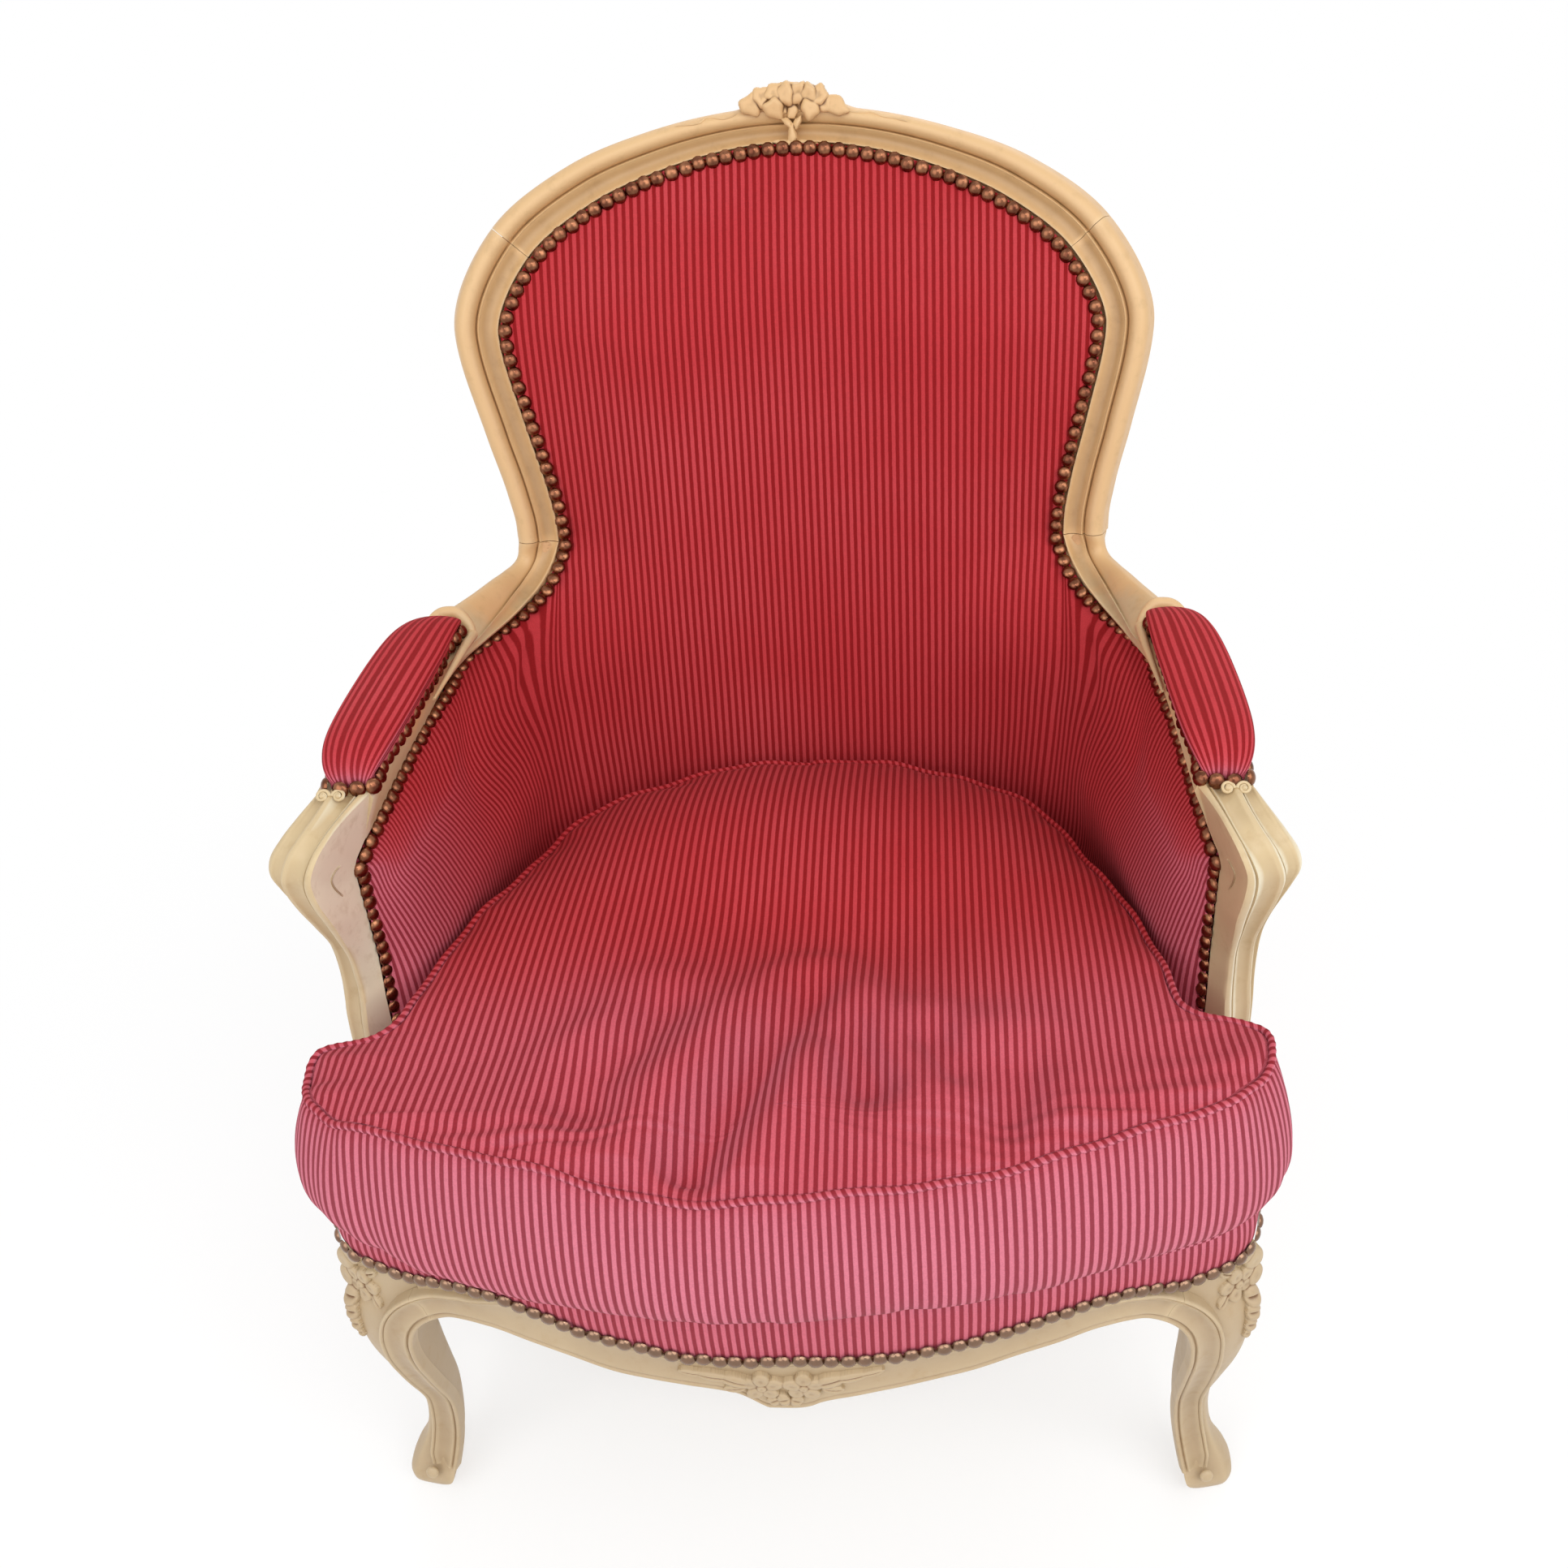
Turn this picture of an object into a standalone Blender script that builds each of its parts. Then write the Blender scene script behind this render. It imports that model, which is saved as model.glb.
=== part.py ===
"""A bergere cabriolet: carved and painted beech frame, close-nailed stripes, loose T-shaped cushion.

Metres, +Z up, the sitter faces -Y. The origin is on the floor, midway in width and depth.
Left is -X, as seen from the front.
"""
import math

import bmesh
import bpy
import numpy as np
from mathutils import Vector

# Clearances
GAP = 0.0003                  # between pieces that touch
CLOTH_GAP = 0.0007            # between padding and the wood beside it
JOINT_FIT = 0.0004            # round a tenon or a dowel
ROOM_GROWTH = 1.05            # an arm support is this much larger where it cuts padding away
ROOM_END = 0.0015             # and this much longer at its end

# Back: a leaning surface, hollow in plan, that the whole back follows
BACK_TOP_Z = 0.969
BACK_SEAT_Y = 0.1726          # where it stands upright, at the seat
BACK_RAKE = 0.28              # lean per unit of height
BACK_BEND_Z = 0.38            # below this the posts stand upright
BACK_BEND_SOFTNESS = 0.02
BACK_PLAN_RADIUS = 0.78

# Outline of the back frame, on that surface
SHOULDER_X = 0.242            # joint of top rail and post
SHOULDER_DROP = 0.073         # below the top
BACK_HALF_WIDTH = 0.2785
WIDEST_DROP = 0.147
WAIST_HALF_WIDTH = 0.2515     # joint of post and arm
WAIST_Z = 0.660
CREST_RISE = 0.016
CREST_HALF_WIDTH = 0.055
CREST_RELIEF = 0.006

# Section of the back frame
MOULD_WIDTH_TOP = 0.027
MOULD_WIDTH_SIDE = 0.034
REBATE_WIDTH = 0.014
REBATE_DEPTH = 0.008
FRAME_DEPTH = 0.032

# Back posts below the waist, and rear legs
POST_WIDTH = 0.036
POST_INSET = 0.006            # of the hidden post behind the outline
POST_FACE = 0.0105            # how far its face lies behind the back surface
POST_DEPTH = 0.028
ARM_SEAT = 0.0145             # how far the post is cut back behind the root of the arm
REAR_FOOT_X = 0.236
REAR_FOOT_Y = 0.262
REAR_FOOT_SIZE = 0.030

# Seat rails
RAIL_TOP_Z = 0.345
RAIL_THICKNESS = 0.038
FRONT_Y = -0.3545             # face of the front rail at its centre
FRONT_BOW = 0.070             # how far its ends lie behind its centre
FRONT_BOW_X = 0.335
FRONT_DROP_Z = 0.252          # lowest point of the front rail
FRONT_ARCH_Z = 0.306          # its lower edge beside the legs
NAIL_CENTRE_Z = 0.3085        # line of the nails at the centre
NAIL_CORNER_Z = 0.340         # and towards the legs
HEM_DROP = 0.0045             # how far the cloth hangs below the line of the nails
SIDE_RAIL_BOTTOM_Z = 0.286
BACK_RAIL_BOTTOM_Z = 0.286
BACK_RAIL_THICKNESS = 0.026
LOWER_RAIL_LOW_Z = 0.392
LOWER_RAIL_HIGH_Z = 0.432
LOWER_RAIL_THICKNESS = 0.022

# Front legs
LEG_IN_X = 0.2755             # side of the leg block that the front rail meets
LEG_BACK_Y = -0.2265          # side of the leg block that the side rail meets
FOOT_X = 0.337
FOOT_Y = -0.2755
FOOT_SIZE = 0.041
ANKLE_SIZE = 0.030

# Arms and arm supports
ARM_X = 0.297                 # middle of the arm, halfway along the pad
ARM_Z = 0.6245
ARM_WIDTH = 0.042
ARM_HEIGHT = 0.041
ARM_END_Y = -0.1275           # joint of arm and arm support
KNUCKLE_X = 0.3245
KNUCKLE_WIDTH = 0.053
SUPPORT_WIDTH = 0.038
SUPPORT_FOOT_X = 0.309
SUPPORT_FOOT_Y = -0.196
ARM_PAD_BACK_Y = 0.075
ARM_PAD_CROWN = 0.025
ARM_PAD_WIDTH = 0.047

# Joinery
TENON_LENGTH = 0.024
TENON_THICKNESS = 0.012
DOWEL_RADIUS = 0.005
DOWEL_LENGTH = 0.036
ROOT_DOWEL_LENGTH = 0.022     # through the thin root of the arm
BLOCK_HEIGHT = 0.040

# Seat
STRAP_WIDTH = 0.050
STRAP_THICKNESS = 0.0015
HESSIAN_THICKNESS = 0.001
DECK_TOP_Z = 0.384
COVER_THICKNESS = 0.0035
FABRIC_REBATE = 0.005         # step behind the visible face of the rails

# Upholstery of the sides and back
INSIDE_BACK_CROWN = 0.042
INSIDE_BACK_FOOT = 0.78       # share of the crown that the padding keeps at the seat
PAD_EDGE = 0.004
INSIDE_ARM_FOOT = 0.034       # padding at the seat
OUTSIDE_THICKNESS = 0.003
INSIDE_LOW_Z = DECK_TOP_Z + 2 * GAP
CORNER_LOW_X = 0.188          # corner of inside back and inside arm, at the seat
CORNER_HIGH_X = 0.2165
CORNER_HIGH_Z = 0.622

# Cushion
CUSHION_HEIGHT = 0.086        # between its two seams
CUSHION_CROWN = 0.026
CUSHION_BULGE = 0.012
CUSHION_BACK_Y = 0.140
CUSHION_OVERHANG = 0.006      # of the front seams past the rail
SEAM_INSET = 0.008            # how far the seams are drawn in
PIPING_RADIUS = 0.0033
PIPING_SEAT = 1.3             # how far out the cord lies in the open angle of the seam, in its radii
CUSHION_LIFT_X = 0.0
CUSHION_LIFT_Y = -0.10
EAR_Y = -0.20                 # the ears of seat and cushion are seen from here without a fold


class Curve:
    """A smooth curve through a few points, read at a knot value."""

    def __init__(self, points, knots=None):
        self.points = np.array(points, float)
        if self.points.ndim == 1:
            self.points = self.points[:, None]
        if knots is None:
            steps = np.linalg.norm(np.diff(self.points, axis=0), axis=1)
            knots = np.concatenate(([0.0], np.cumsum(steps)))
        self.knots = np.array(knots, float)
        span = np.diff(self.knots)[:, None]
        rate = np.diff(self.points, axis=0) / span
        inner = (rate[:-1] * span[1:] + rate[1:] * span[:-1]) / (span[1:] + span[:-1])
        inner = np.where(rate[:-1] * rate[1:] > 0, inner, 0.0)
        self.slopes = np.vstack([rate[:1], inner, rate[-1:]])

    def at(self, knot):
        i = int(np.clip(np.searchsorted(self.knots, knot) - 1, 0, len(self.knots) - 2))
        span = self.knots[i + 1] - self.knots[i]
        t = (knot - self.knots[i]) / span
        value = ((1 + 2 * t) * (1 - t) ** 2 * self.points[i]
                 + t * t * (3 - 2 * t) * self.points[i + 1]
                 + span * t * (1 - t) ** 2 * self.slopes[i]
                 - span * t * t * (1 - t) * self.slopes[i + 1])
        return value if len(value) > 1 else float(value[0])

    def even(self, count):
        return [self.at(k) for k in np.linspace(self.knots[0], self.knots[-1], count)]


def ease(t):
    t = min(max(t, 0.0), 1.0)
    return t * t * (3 - 2 * t)


def flip(points, side):
    return [Vector((side * p[0], p[1], p[2])) for p in points]


# Meshes and objects

def loft(rings, closed=False):
    """A closed body through rings of equally many points."""
    bm = bmesh.new()
    rows = [[bm.verts.new(p) for p in ring] for ring in rings]
    pairs = list(zip(rows, rows[1:]))
    if closed:
        pairs.append((rows[-1], rows[0]))
    count = len(rows[0])
    for low, high in pairs:
        for i in range(count):
            j = (i + 1) % count
            bm.faces.new((low[i], low[j], high[j], high[i]))
    if not closed:
        bm.faces.new(rows[0])
        bm.faces.new(rows[-1])
    return bm


def slab(front, back):
    """A closed body between two grids of points of the same size."""
    bm = bmesh.new()
    sheets = [[[bm.verts.new(p) for p in row] for row in grid] for grid in (front, back)]
    rows, columns = len(front), len(front[0])
    for sheet in sheets:
        for i in range(rows - 1):
            for j in range(columns - 1):
                bm.faces.new((sheet[i][j], sheet[i][j + 1], sheet[i + 1][j + 1], sheet[i + 1][j]))
    rim = [(0, j) for j in range(columns)]
    rim += [(i, columns - 1) for i in range(1, rows)]
    rim += [(rows - 1, j) for j in range(columns - 2, -1, -1)]
    rim += [(i, 0) for i in range(rows - 2, 0, -1)]
    for (i, j), (k, m) in zip(rim, rim[1:] + rim[:1]):
        bm.faces.new((sheets[0][i][j], sheets[0][k][m], sheets[1][k][m], sheets[1][i][j]))
    return bm


def prism(outline, low_z, high_z):
    return loft([[(x, y, low_z) for x, y in outline], [(x, y, high_z) for x, y in outline]])


def material(name, colour, roughness):
    made = bpy.data.materials.new(name)
    made.use_nodes = True
    shader = made.node_tree.nodes["Principled BSDF"]
    shader.inputs["Base Color"].default_value = (*colour, 1.0)
    shader.inputs["Roughness"].default_value = roughness
    shader.inputs["Metallic"].default_value = 0.0
    return made


def add_object(name, bm):
    bmesh.ops.recalc_face_normals(bm, faces=bm.faces)
    mesh = bpy.data.meshes.new(name)
    bm.to_mesh(mesh)
    bm.free()
    made = bpy.data.objects.new(name, mesh)
    bpy.context.scene.collection.objects.link(made)
    return made


def add_piece(name, bm, finish):
    made = add_object(name, bm)
    made.data.materials.append(finish)
    made.data.shade_smooth()
    made.data.set_sharp_from_angle(angle=math.radians(38))
    return made


def add_cutter(name, bm):
    made = add_object(name, bm)
    made.hide_render = True
    made.display_type = 'WIRE'
    return made


def combine(piece, other, operation):
    change = piece.modifiers.new(other.name, 'BOOLEAN')
    change.operation = operation
    change.object = other


def box_mesh(low, high):
    corners = [(low[0], low[1]), (high[0], low[1]), (high[0], high[1]), (low[0], high[1])]
    return prism(corners, low[2], high[2])


def tenon(rail, host, side, low, high):
    """A tenon on the rail and its mortise in the host; low and high are corners on the right side."""
    xs = sorted((side * low[0], side * high[0]))
    low = Vector((xs[0], low[1], low[2]))
    high = Vector((xs[1], high[1], high[2]))
    fit = Vector((JOINT_FIT, JOINT_FIT, JOINT_FIT))
    combine(rail, add_cutter(rail.name + "_tenon_" + host.name, box_mesh(low, high)), 'UNION')
    mortise = add_cutter(host.name + "_mortise_" + rail.name, box_mesh(low - fit, high + fit))
    combine(host, mortise, 'DIFFERENCE')


def rod_mesh(centre, axis, length, radius, sides=12):
    axis = Vector(axis).normalized()
    across = axis.orthogonal().normalized()
    other = axis.cross(across)
    rings = []
    for end in (-0.5, 0.5):
        middle = Vector(centre) + axis * (end * length)
        turns = [2 * math.pi * i / sides for i in range(sides)]
        rings.append([middle + radius * (across * math.cos(a) + other * math.sin(a)) for a in turns])
    return loft(rings)


def dowel(name, first, second, centre, axis, finish, length=DOWEL_LENGTH):
    """A dowel across the joint of two pieces, and its hole in both."""
    piece = add_piece(name, rod_mesh(centre, axis, length, DOWEL_RADIUS), finish)
    hole_mesh = rod_mesh(centre, axis, length + 2 * JOINT_FIT, DOWEL_RADIUS + JOINT_FIT)
    hole = add_cutter(name + "_hole", hole_mesh)
    combine(first, hole, 'DIFFERENCE')
    combine(second, hole, 'DIFFERENCE')
    return piece


# The surface of the back, and the outline on it

def back_line(z):
    above = BACK_BEND_SOFTNESS * math.log1p(math.exp((z - BACK_BEND_Z) / BACK_BEND_SOFTNESS))
    return BACK_SEAT_Y + BACK_RAKE * above


def back_y(x, z):
    return back_line(z) - x * x / (2 * BACK_PLAN_RADIUS)


def back_normal(x, z):
    step = 0.001
    lean = (back_line(z + step) - back_line(z - step)) / (2 * step)
    return Vector((-x / BACK_PLAN_RADIUS, -1.0, lean)).normalized()


def on_back(x, z, height):
    """Point so far in front of the back surface, square to it."""
    return Vector((x, back_y(x, z), z)) + back_normal(x, z) * height


def outline_points():
    top = [(0.42 * BACK_HALF_WIDTH, BACK_TOP_Z - 0.014), (0.65 * BACK_HALF_WIDTH, BACK_TOP_Z - 0.034)]
    widest_z = BACK_TOP_Z - WIDEST_DROP
    fall = widest_z - WAIST_Z
    narrowing = BACK_HALF_WIDTH - WAIST_HALF_WIDTH
    sides = [(BACK_HALF_WIDTH, widest_z),
             (BACK_HALF_WIDTH - 0.46 * narrowing, widest_z - 0.50 * fall),
             (BACK_HALF_WIDTH - 0.83 * narrowing, widest_z - 0.80 * fall),
             (WAIST_HALF_WIDTH, WAIST_Z),
             (WAIST_HALF_WIDTH + 0.007, WAIST_Z - 0.028)]
    mirrored = (-top[0][0], top[0][1])
    return [mirrored, (0.0, BACK_TOP_Z)] + top + [(SHOULDER_X, BACK_TOP_Z - SHOULDER_DROP)] + sides


OUTLINE = Curve(outline_points())
TOP_KNOT = OUTLINE.knots[1]
SHOULDER_S = OUTLINE.knots[4] - TOP_KNOT
WAIST_S = OUTLINE.knots[-2] - TOP_KNOT


def outline_at(s):
    x, z = OUTLINE.at(TOP_KNOT + s)
    return Vector((x, back_y(x, z), z))


def outline_frame(s):
    """Point on the outline, its direction, the way inwards and the way to the sitter."""
    step = 0.0005
    point = outline_at(s)
    along = (outline_at(s + step) - outline_at(s - step)).normalized()
    face = back_normal(point.x, point.z)
    return point, along, along.cross(face).normalized(), face


def mould_width(s):
    return MOULD_WIDTH_TOP + (MOULD_WIDTH_SIDE - MOULD_WIDTH_TOP) * ease(s / SHOULDER_S)


def mould_profile(width, depth, crest=0.0):
    """Moulded section: distance inwards from the outer edge, and height above the face."""
    relief = FRAME_DEPTH
    edge = -CREST_RISE * crest
    lift = CREST_RELIEF * crest
    inner = width + REBATE_WIDTH
    side = min(0.35 * relief, 0.8 * depth)
    return [(edge * 0.6, -depth), (edge, -side), (edge + 0.12 * width, -0.08 * relief + lift),
            (edge * 0.5 + 0.30 * width, lift), (0.50 * width, -0.06 * relief + lift),
            (0.56 * width, -0.16 * relief), (0.92 * width, -0.03 * relief), (width, -0.05 * relief),
            (width, -REBATE_DEPTH), (inner, -REBATE_DEPTH), (inner, -depth)]


def plain_ring(outer, inner, front, back):
    """The same number of points round a rectangle, in the order of the moulded section."""
    shares = [(0, 1), (0, 0.5), (0, 0), (0.15, 0), (0.3, 0), (0.45, 0), (0.6, 0), (0.8, 0), (1, 0),
              (1, 0.5), (1, 1)]
    return [(outer + a * (inner - outer), front + b * (back - front)) for a, b in shares]


def mould_ring(s, depth=FRAME_DEPTH):
    crest = max(0.0, 1.0 - (s / CREST_HALF_WIDTH) ** 2) ** 2
    point, _, inwards, face = outline_frame(s)
    return [point + inwards * u + face * v for u, v in mould_profile(mould_width(s), depth, crest)]


# Frame members

def top_stations():
    """Places along the outline where the sections of the top rail stand, from its middle to its end."""
    return list(np.linspace(0.0, SHOULDER_S - GAP / 2, 14))


def post_stations():
    return list(np.linspace(SHOULDER_S + GAP / 2, WAIST_S, 13))


def post_face_y(z):
    """Front of the hidden post, where the rails meet it."""
    return back_y(post_x(z), z) + POST_FACE


def post_x(z):
    return WAIST_HALF_WIDTH - POST_INSET - POST_WIDTH / 2


def build_top_rail(finish):
    right = top_stations()
    rings = [flip(mould_ring(s), -1) for s in reversed(right[1:])]
    rings += [mould_ring(s) for s in right]
    return add_piece("top_rail", loft(rings), finish)


def post_block(z, face, turn):
    """Level ring round the hidden post; turn 1 follows the back surface, 0 stands square."""
    x = post_x(z)
    normal = back_normal(x, z)
    back_way = Vector((-normal.x * turn, 1.0, 0.0)).normalized()
    outer_way = Vector((back_way.y, -back_way.x, 0.0))
    middle = Vector((x, back_y(x, z), z))
    ring = plain_ring(POST_WIDTH / 2, -POST_WIDTH / 2, face, POST_FACE + POST_DEPTH)
    return [middle + outer_way * u + back_way * v for u, v in ring]


def rear_leg_rings():
    seat = Vector((post_x(RAIL_TOP_Z), post_face_y(BACK_RAIL_BOTTOM_Z) + POST_DEPTH / 2, BACK_RAIL_BOTTOM_Z))
    foot = Vector((REAR_FOOT_X, REAR_FOOT_Y, 0.0))
    rings = []
    for t in (0.06, 0.3, 0.5, 0.7, 0.85, 0.95, 1.0):
        sweep = t ** 1.7
        middle = seat.lerp(foot, sweep)
        middle.z = seat.z * (1 - t)
        waist = 1.0 - 0.22 * math.sin(math.pi * min(t * 1.1, 1.0))
        wide = (POST_WIDTH + (REAR_FOOT_SIZE - POST_WIDTH) * t) * waist / 2
        deep = (POST_DEPTH + (REAR_FOOT_SIZE - POST_DEPTH) * t) * (1.0 - 0.1 * math.sin(math.pi * t)) / 2
        rings.append([middle + Vector((u, v, 0)) for u, v in plain_ring(wide, -wide, -deep, deep)])
    return rings


def build_post(side, finish):
    upper = [mould_ring(s) for s in post_stations()]
    point, _, inwards, face = outline_frame(WAIST_S)
    shoulder = plain_ring(POST_INSET, POST_INSET + POST_WIDTH, -ARM_SEAT, -POST_FACE - POST_DEPTH)
    middle = [[point + inwards * u + face * v for u, v in shoulder]]
    for z, set_back, turn in ((0.605, 0.003, 1.0), (0.55, 0.0, 1.0), (0.45, 0.0, 0.0)):
        middle.append(post_block(z, POST_FACE + set_back, turn))
    for z in (LOWER_RAIL_LOW_Z, RAIL_TOP_Z, BACK_RAIL_BOTTOM_Z):
        middle.append(post_block(z, POST_FACE, 0.0))
    rings = [flip(ring, side) for ring in upper + middle + rear_leg_rings()]
    return add_piece(side_name(side) + "_back_post", loft(rings), finish)


def side_name(side):
    return "right" if side > 0 else "left"


# Arms

def arm_stations():
    """Middle of the arm, its outward way and its upward way, from the waist to the front."""
    point, along, inwards, face = outline_frame(WAIST_S)
    half = (MOULD_WIDTH_SIDE + REBATE_WIDTH) / 2
    root = point + inwards * half + along * GAP
    path = [(root, -inwards, face),
            (Vector((0.2395, 0.1985, 0.631)), Vector((0.713, 0.03, 0.688)), Vector((-0.53, -0.61, 0.575))),
            (Vector((0.262, 0.160, 0.624)), Vector((0.50, 0.18, 0.85)), Vector((-0.80, -0.30, 0.50))),
            (Vector((0.2815, 0.108, ARM_Z)), Vector((0.80, 0.12, 0.58)), Vector((-0.58, -0.10, 0.81))),
            (Vector((ARM_X - 0.0055, 0.06, ARM_Z)), Vector((0.97, 0.05, 0.24)), Vector((-0.24, -0.03, 0.97))),
            (Vector((ARM_X, 0.0, ARM_Z)), Vector((1, 0, 0)), Vector((0, 0, 1))),
            (Vector((ARM_X + 0.003, -0.06, ARM_Z)), Vector((1, 0, 0)), Vector((0, 0, 1))),
            (Vector((ARM_X + 0.005, ARM_END_Y, ARM_Z + 0.001)), Vector((1, 0, 0)), Vector((0, 0, 1)))]
    return path


def arm_profile(t):
    """Section of the arm: moulded at its root, a plain rounded bar under its pad."""
    half = (MOULD_WIDTH_SIDE + REBATE_WIDTH) / 2
    root = [(half - u, v) for u, v in mould_profile(MOULD_WIDTH_SIDE, ARM_SEAT - 2 * GAP)]
    a, b = ARM_WIDTH / 2, ARM_HEIGHT / 2
    shares = [(0.75, -1), (1, -0.35), (1, 0.4), (0.82, 1), (0.4, 1), (0, 1), (-0.4, 1), (-0.85, 1),
              (-1, 0.75), (-1, -0.6), (-0.75, -1)]
    blend = ease(t / 0.5)
    return [(p + (a * c - p) * blend, q + (b * d - q) * blend) for (p, q), (c, d) in zip(root, shares)]


ARM_PATH = arm_stations()
ARM_KNOTS = Curve([p for p, _, _ in ARM_PATH]).knots
ARM_KNOTS = ARM_KNOTS / ARM_KNOTS[-1]
ARM_MIDDLE = Curve([p for p, _, _ in ARM_PATH], ARM_KNOTS)
ARM_OUT = Curve([p for _, p, _ in ARM_PATH], ARM_KNOTS)
ARM_UP = Curve([p for _, _, p in ARM_PATH], ARM_KNOTS)


def arm_place(t, u, v):
    """Point of the arm at a share of its length, so far outwards and upwards from its middle."""
    out = Vector(ARM_OUT.at(t)).normalized()
    up = Vector(ARM_UP.at(t)).normalized()
    return Vector(ARM_MIDDLE.at(t)) + out * u + up * v


def arm_ring(t):
    return [arm_place(t, u, v) for u, v in arm_profile(t)]


def arm_room_ring(t):
    """A little larger than the arm, and full where the arm is rebated."""
    profile = arm_profile(t)
    wide = max(abs(u) for u, _ in profile) + CLOTH_GAP
    low = min(v for _, v in profile) - CLOTH_GAP
    high = max(v for _, v in profile) + CLOTH_GAP
    return [arm_place(t, u, v) for u, v in ((-wide, low), (wide, low), (wide, high), (-wide, high))]


def build_arm(side, finish):
    rings = [flip(arm_ring(t), side) for t in np.linspace(0, 1, 21)]
    return add_piece(side_name(side) + "_arm", loft(rings), finish)


def build_arm_room(side):
    """The arm and a little beyond its front end, as cut out of the padding beside it."""
    rings = [arm_room_ring(t) for t in np.linspace(0, 1, 21)]
    rings.append([p - Vector((0, ROOM_END, 0)) for p in rings[-1]])
    return add_cutter(side_name(side) + "_arm_room", loft([flip(ring, side) for ring in rings]))


def support_stations():
    """Middle of the arm support, turn of its face from up (0) to forward (90), half width, half depth."""
    end = ARM_PATH[-1][0]
    half = SUPPORT_WIDTH / 2
    top = ARM_WIDTH / 2
    knuckle = KNUCKLE_WIDTH / 2
    return [((end.x, ARM_END_Y - GAP, end.z), 0, top, 0.0185),
            ((0.316, -0.150, 0.621), 35, 0.9 * knuckle, 0.018),
            ((KNUCKLE_X, -0.160, 0.604), 75, knuckle, 0.0175),
            ((0.3225, -0.159, 0.580), 100, 0.92 * knuckle, 0.015),
            ((0.319, -0.158, 0.555), 95, 1.08 * half, 0.013),
            ((0.318, -0.162, 0.520), 85, half, 0.0135),
            ((0.3185, -0.168, 0.490), 80, half, 0.014),
            ((0.3195, -0.177, 0.460), 78, half, 0.015),
            ((0.318, -0.187, 0.420), 82, half, 0.016),
            ((0.313, -0.193, 0.380), 88, half, 0.018),
            ((SUPPORT_FOOT_X, SUPPORT_FOOT_Y, side_rail_top() + GAP), 90, half, 0.019)]


def support_profile(wide, deep):
    shares = [(-0.9, -1), (-1, -0.8), (-1, 0.45), (-0.75, 0.9), (-0.3, 0.95), (0, 0.85), (0.3, 1),
              (0.75, 0.95), (1, 0.4), (1, -0.8), (0.9, -1)]
    return [(wide * a, deep * b) for a, b in shares]


def side_rail_top():
    return RAIL_TOP_Z + STRAP_THICKNESS + GAP


SUPPORT_PATH = support_stations()
SUPPORT_KNOTS = Curve([p for p, _, _, _ in SUPPORT_PATH]).knots
SUPPORT_KNOTS = SUPPORT_KNOTS / SUPPORT_KNOTS[-1]
SUPPORT_MIDDLE = Curve([p for p, _, _, _ in SUPPORT_PATH], SUPPORT_KNOTS)
SUPPORT_SHAPE = Curve([row[1:] for row in SUPPORT_PATH], SUPPORT_KNOTS)


def support_ring(t, growth=1.0):
    middle = Vector(SUPPORT_MIDDLE.at(t))
    turn, wide, deep = SUPPORT_SHAPE.at(t)
    turn = math.radians(turn)
    face = Vector((0.0, -math.sin(turn), math.cos(turn)))
    out = Vector((1.0, 0.0, 0.0))
    return [middle + out * u + face * v for u, v in support_profile(wide * growth, deep * growth)]


def build_arm_support(side, finish):
    rings = [flip(support_ring(t), side) for t in np.linspace(0, 1, 21)]
    return add_piece(side_name(side) + "_arm_support", loft(rings), finish)


def build_support_room(side):
    """The arm support and a little beyond its top end, as cut out of the padding beside it."""
    rings = [support_ring(t, ROOM_GROWTH) for t in np.linspace(0, 1, 21)]
    rings.insert(0, [p + Vector((0, ROOM_END, 0)) for p in rings[0]])
    return add_cutter(side_name(side) + "_support_room", loft([flip(ring, side) for ring in rings]))


def build_arm_pad(side, finish):
    """Manchette: a crowned pad on the arm, blunt at the front."""
    front = ARM_END_Y + 0.006
    rings = []
    for share, rise in ((0.0, 0.25), (0.03, 0.62), (0.1, 0.86), (0.3, 1.0), (0.55, 1.0), (0.8, 0.95),
                        (0.95, 0.8), (1.0, 0.45)):
        y = ARM_PAD_BACK_Y + (front - ARM_PAD_BACK_Y) * share
        t = arm_parameter(y)
        middle = Vector(ARM_MIDDLE.at(t))
        top = max(p.z for p in arm_ring(t)) + GAP
        half = ARM_PAD_WIDTH / 2 * (0.86 + 0.14 * rise)
        arch = [math.pi * k / 10 for k in range(11)]
        rings.append([(middle.x + half * math.cos(a), y, top + ARM_PAD_CROWN * rise * math.sin(a) ** 0.8)
                      for a in arch])
    return add_piece(side_name(side) + "_arm_pad", loft([flip(ring, side) for ring in rings]), finish)


def arm_parameter(y):
    """Where along the arm its middle has this depth."""
    low, high = 0.0, 1.0
    for _ in range(40):
        middle = (low + high) / 2
        if ARM_MIDDLE.at(middle)[1] > y:
            low = middle
        else:
            high = middle
    return (low + high) / 2


# Seat rails

def front_face_y(x):
    return FRONT_Y + FRONT_BOW * (x / FRONT_BOW_X) ** 2


def centred_curve(values, xs):
    """Height by distance from the middle of the rail, level at the middle."""
    return Curve([values[1]] + values, [-xs[1]] + xs)


FRONT_LOW = centred_curve([FRONT_DROP_Z, FRONT_DROP_Z + 0.013, FRONT_DROP_Z + 0.029, FRONT_ARCH_Z - 0.008,
                           FRONT_ARCH_Z, FRONT_ARCH_Z - 0.010], [0.0, 0.065, 0.13, 0.19, 0.24, LEG_IN_X])
NAIL_LINE = centred_curve([NAIL_CENTRE_Z, NAIL_CENTRE_Z + 0.003, NAIL_CORNER_Z - 0.006, NAIL_CORNER_Z,
                           RAIL_TOP_Z + GAP + HEM_DROP], [0.0, 0.08, 0.185, 0.235, LEG_IN_X])


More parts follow.
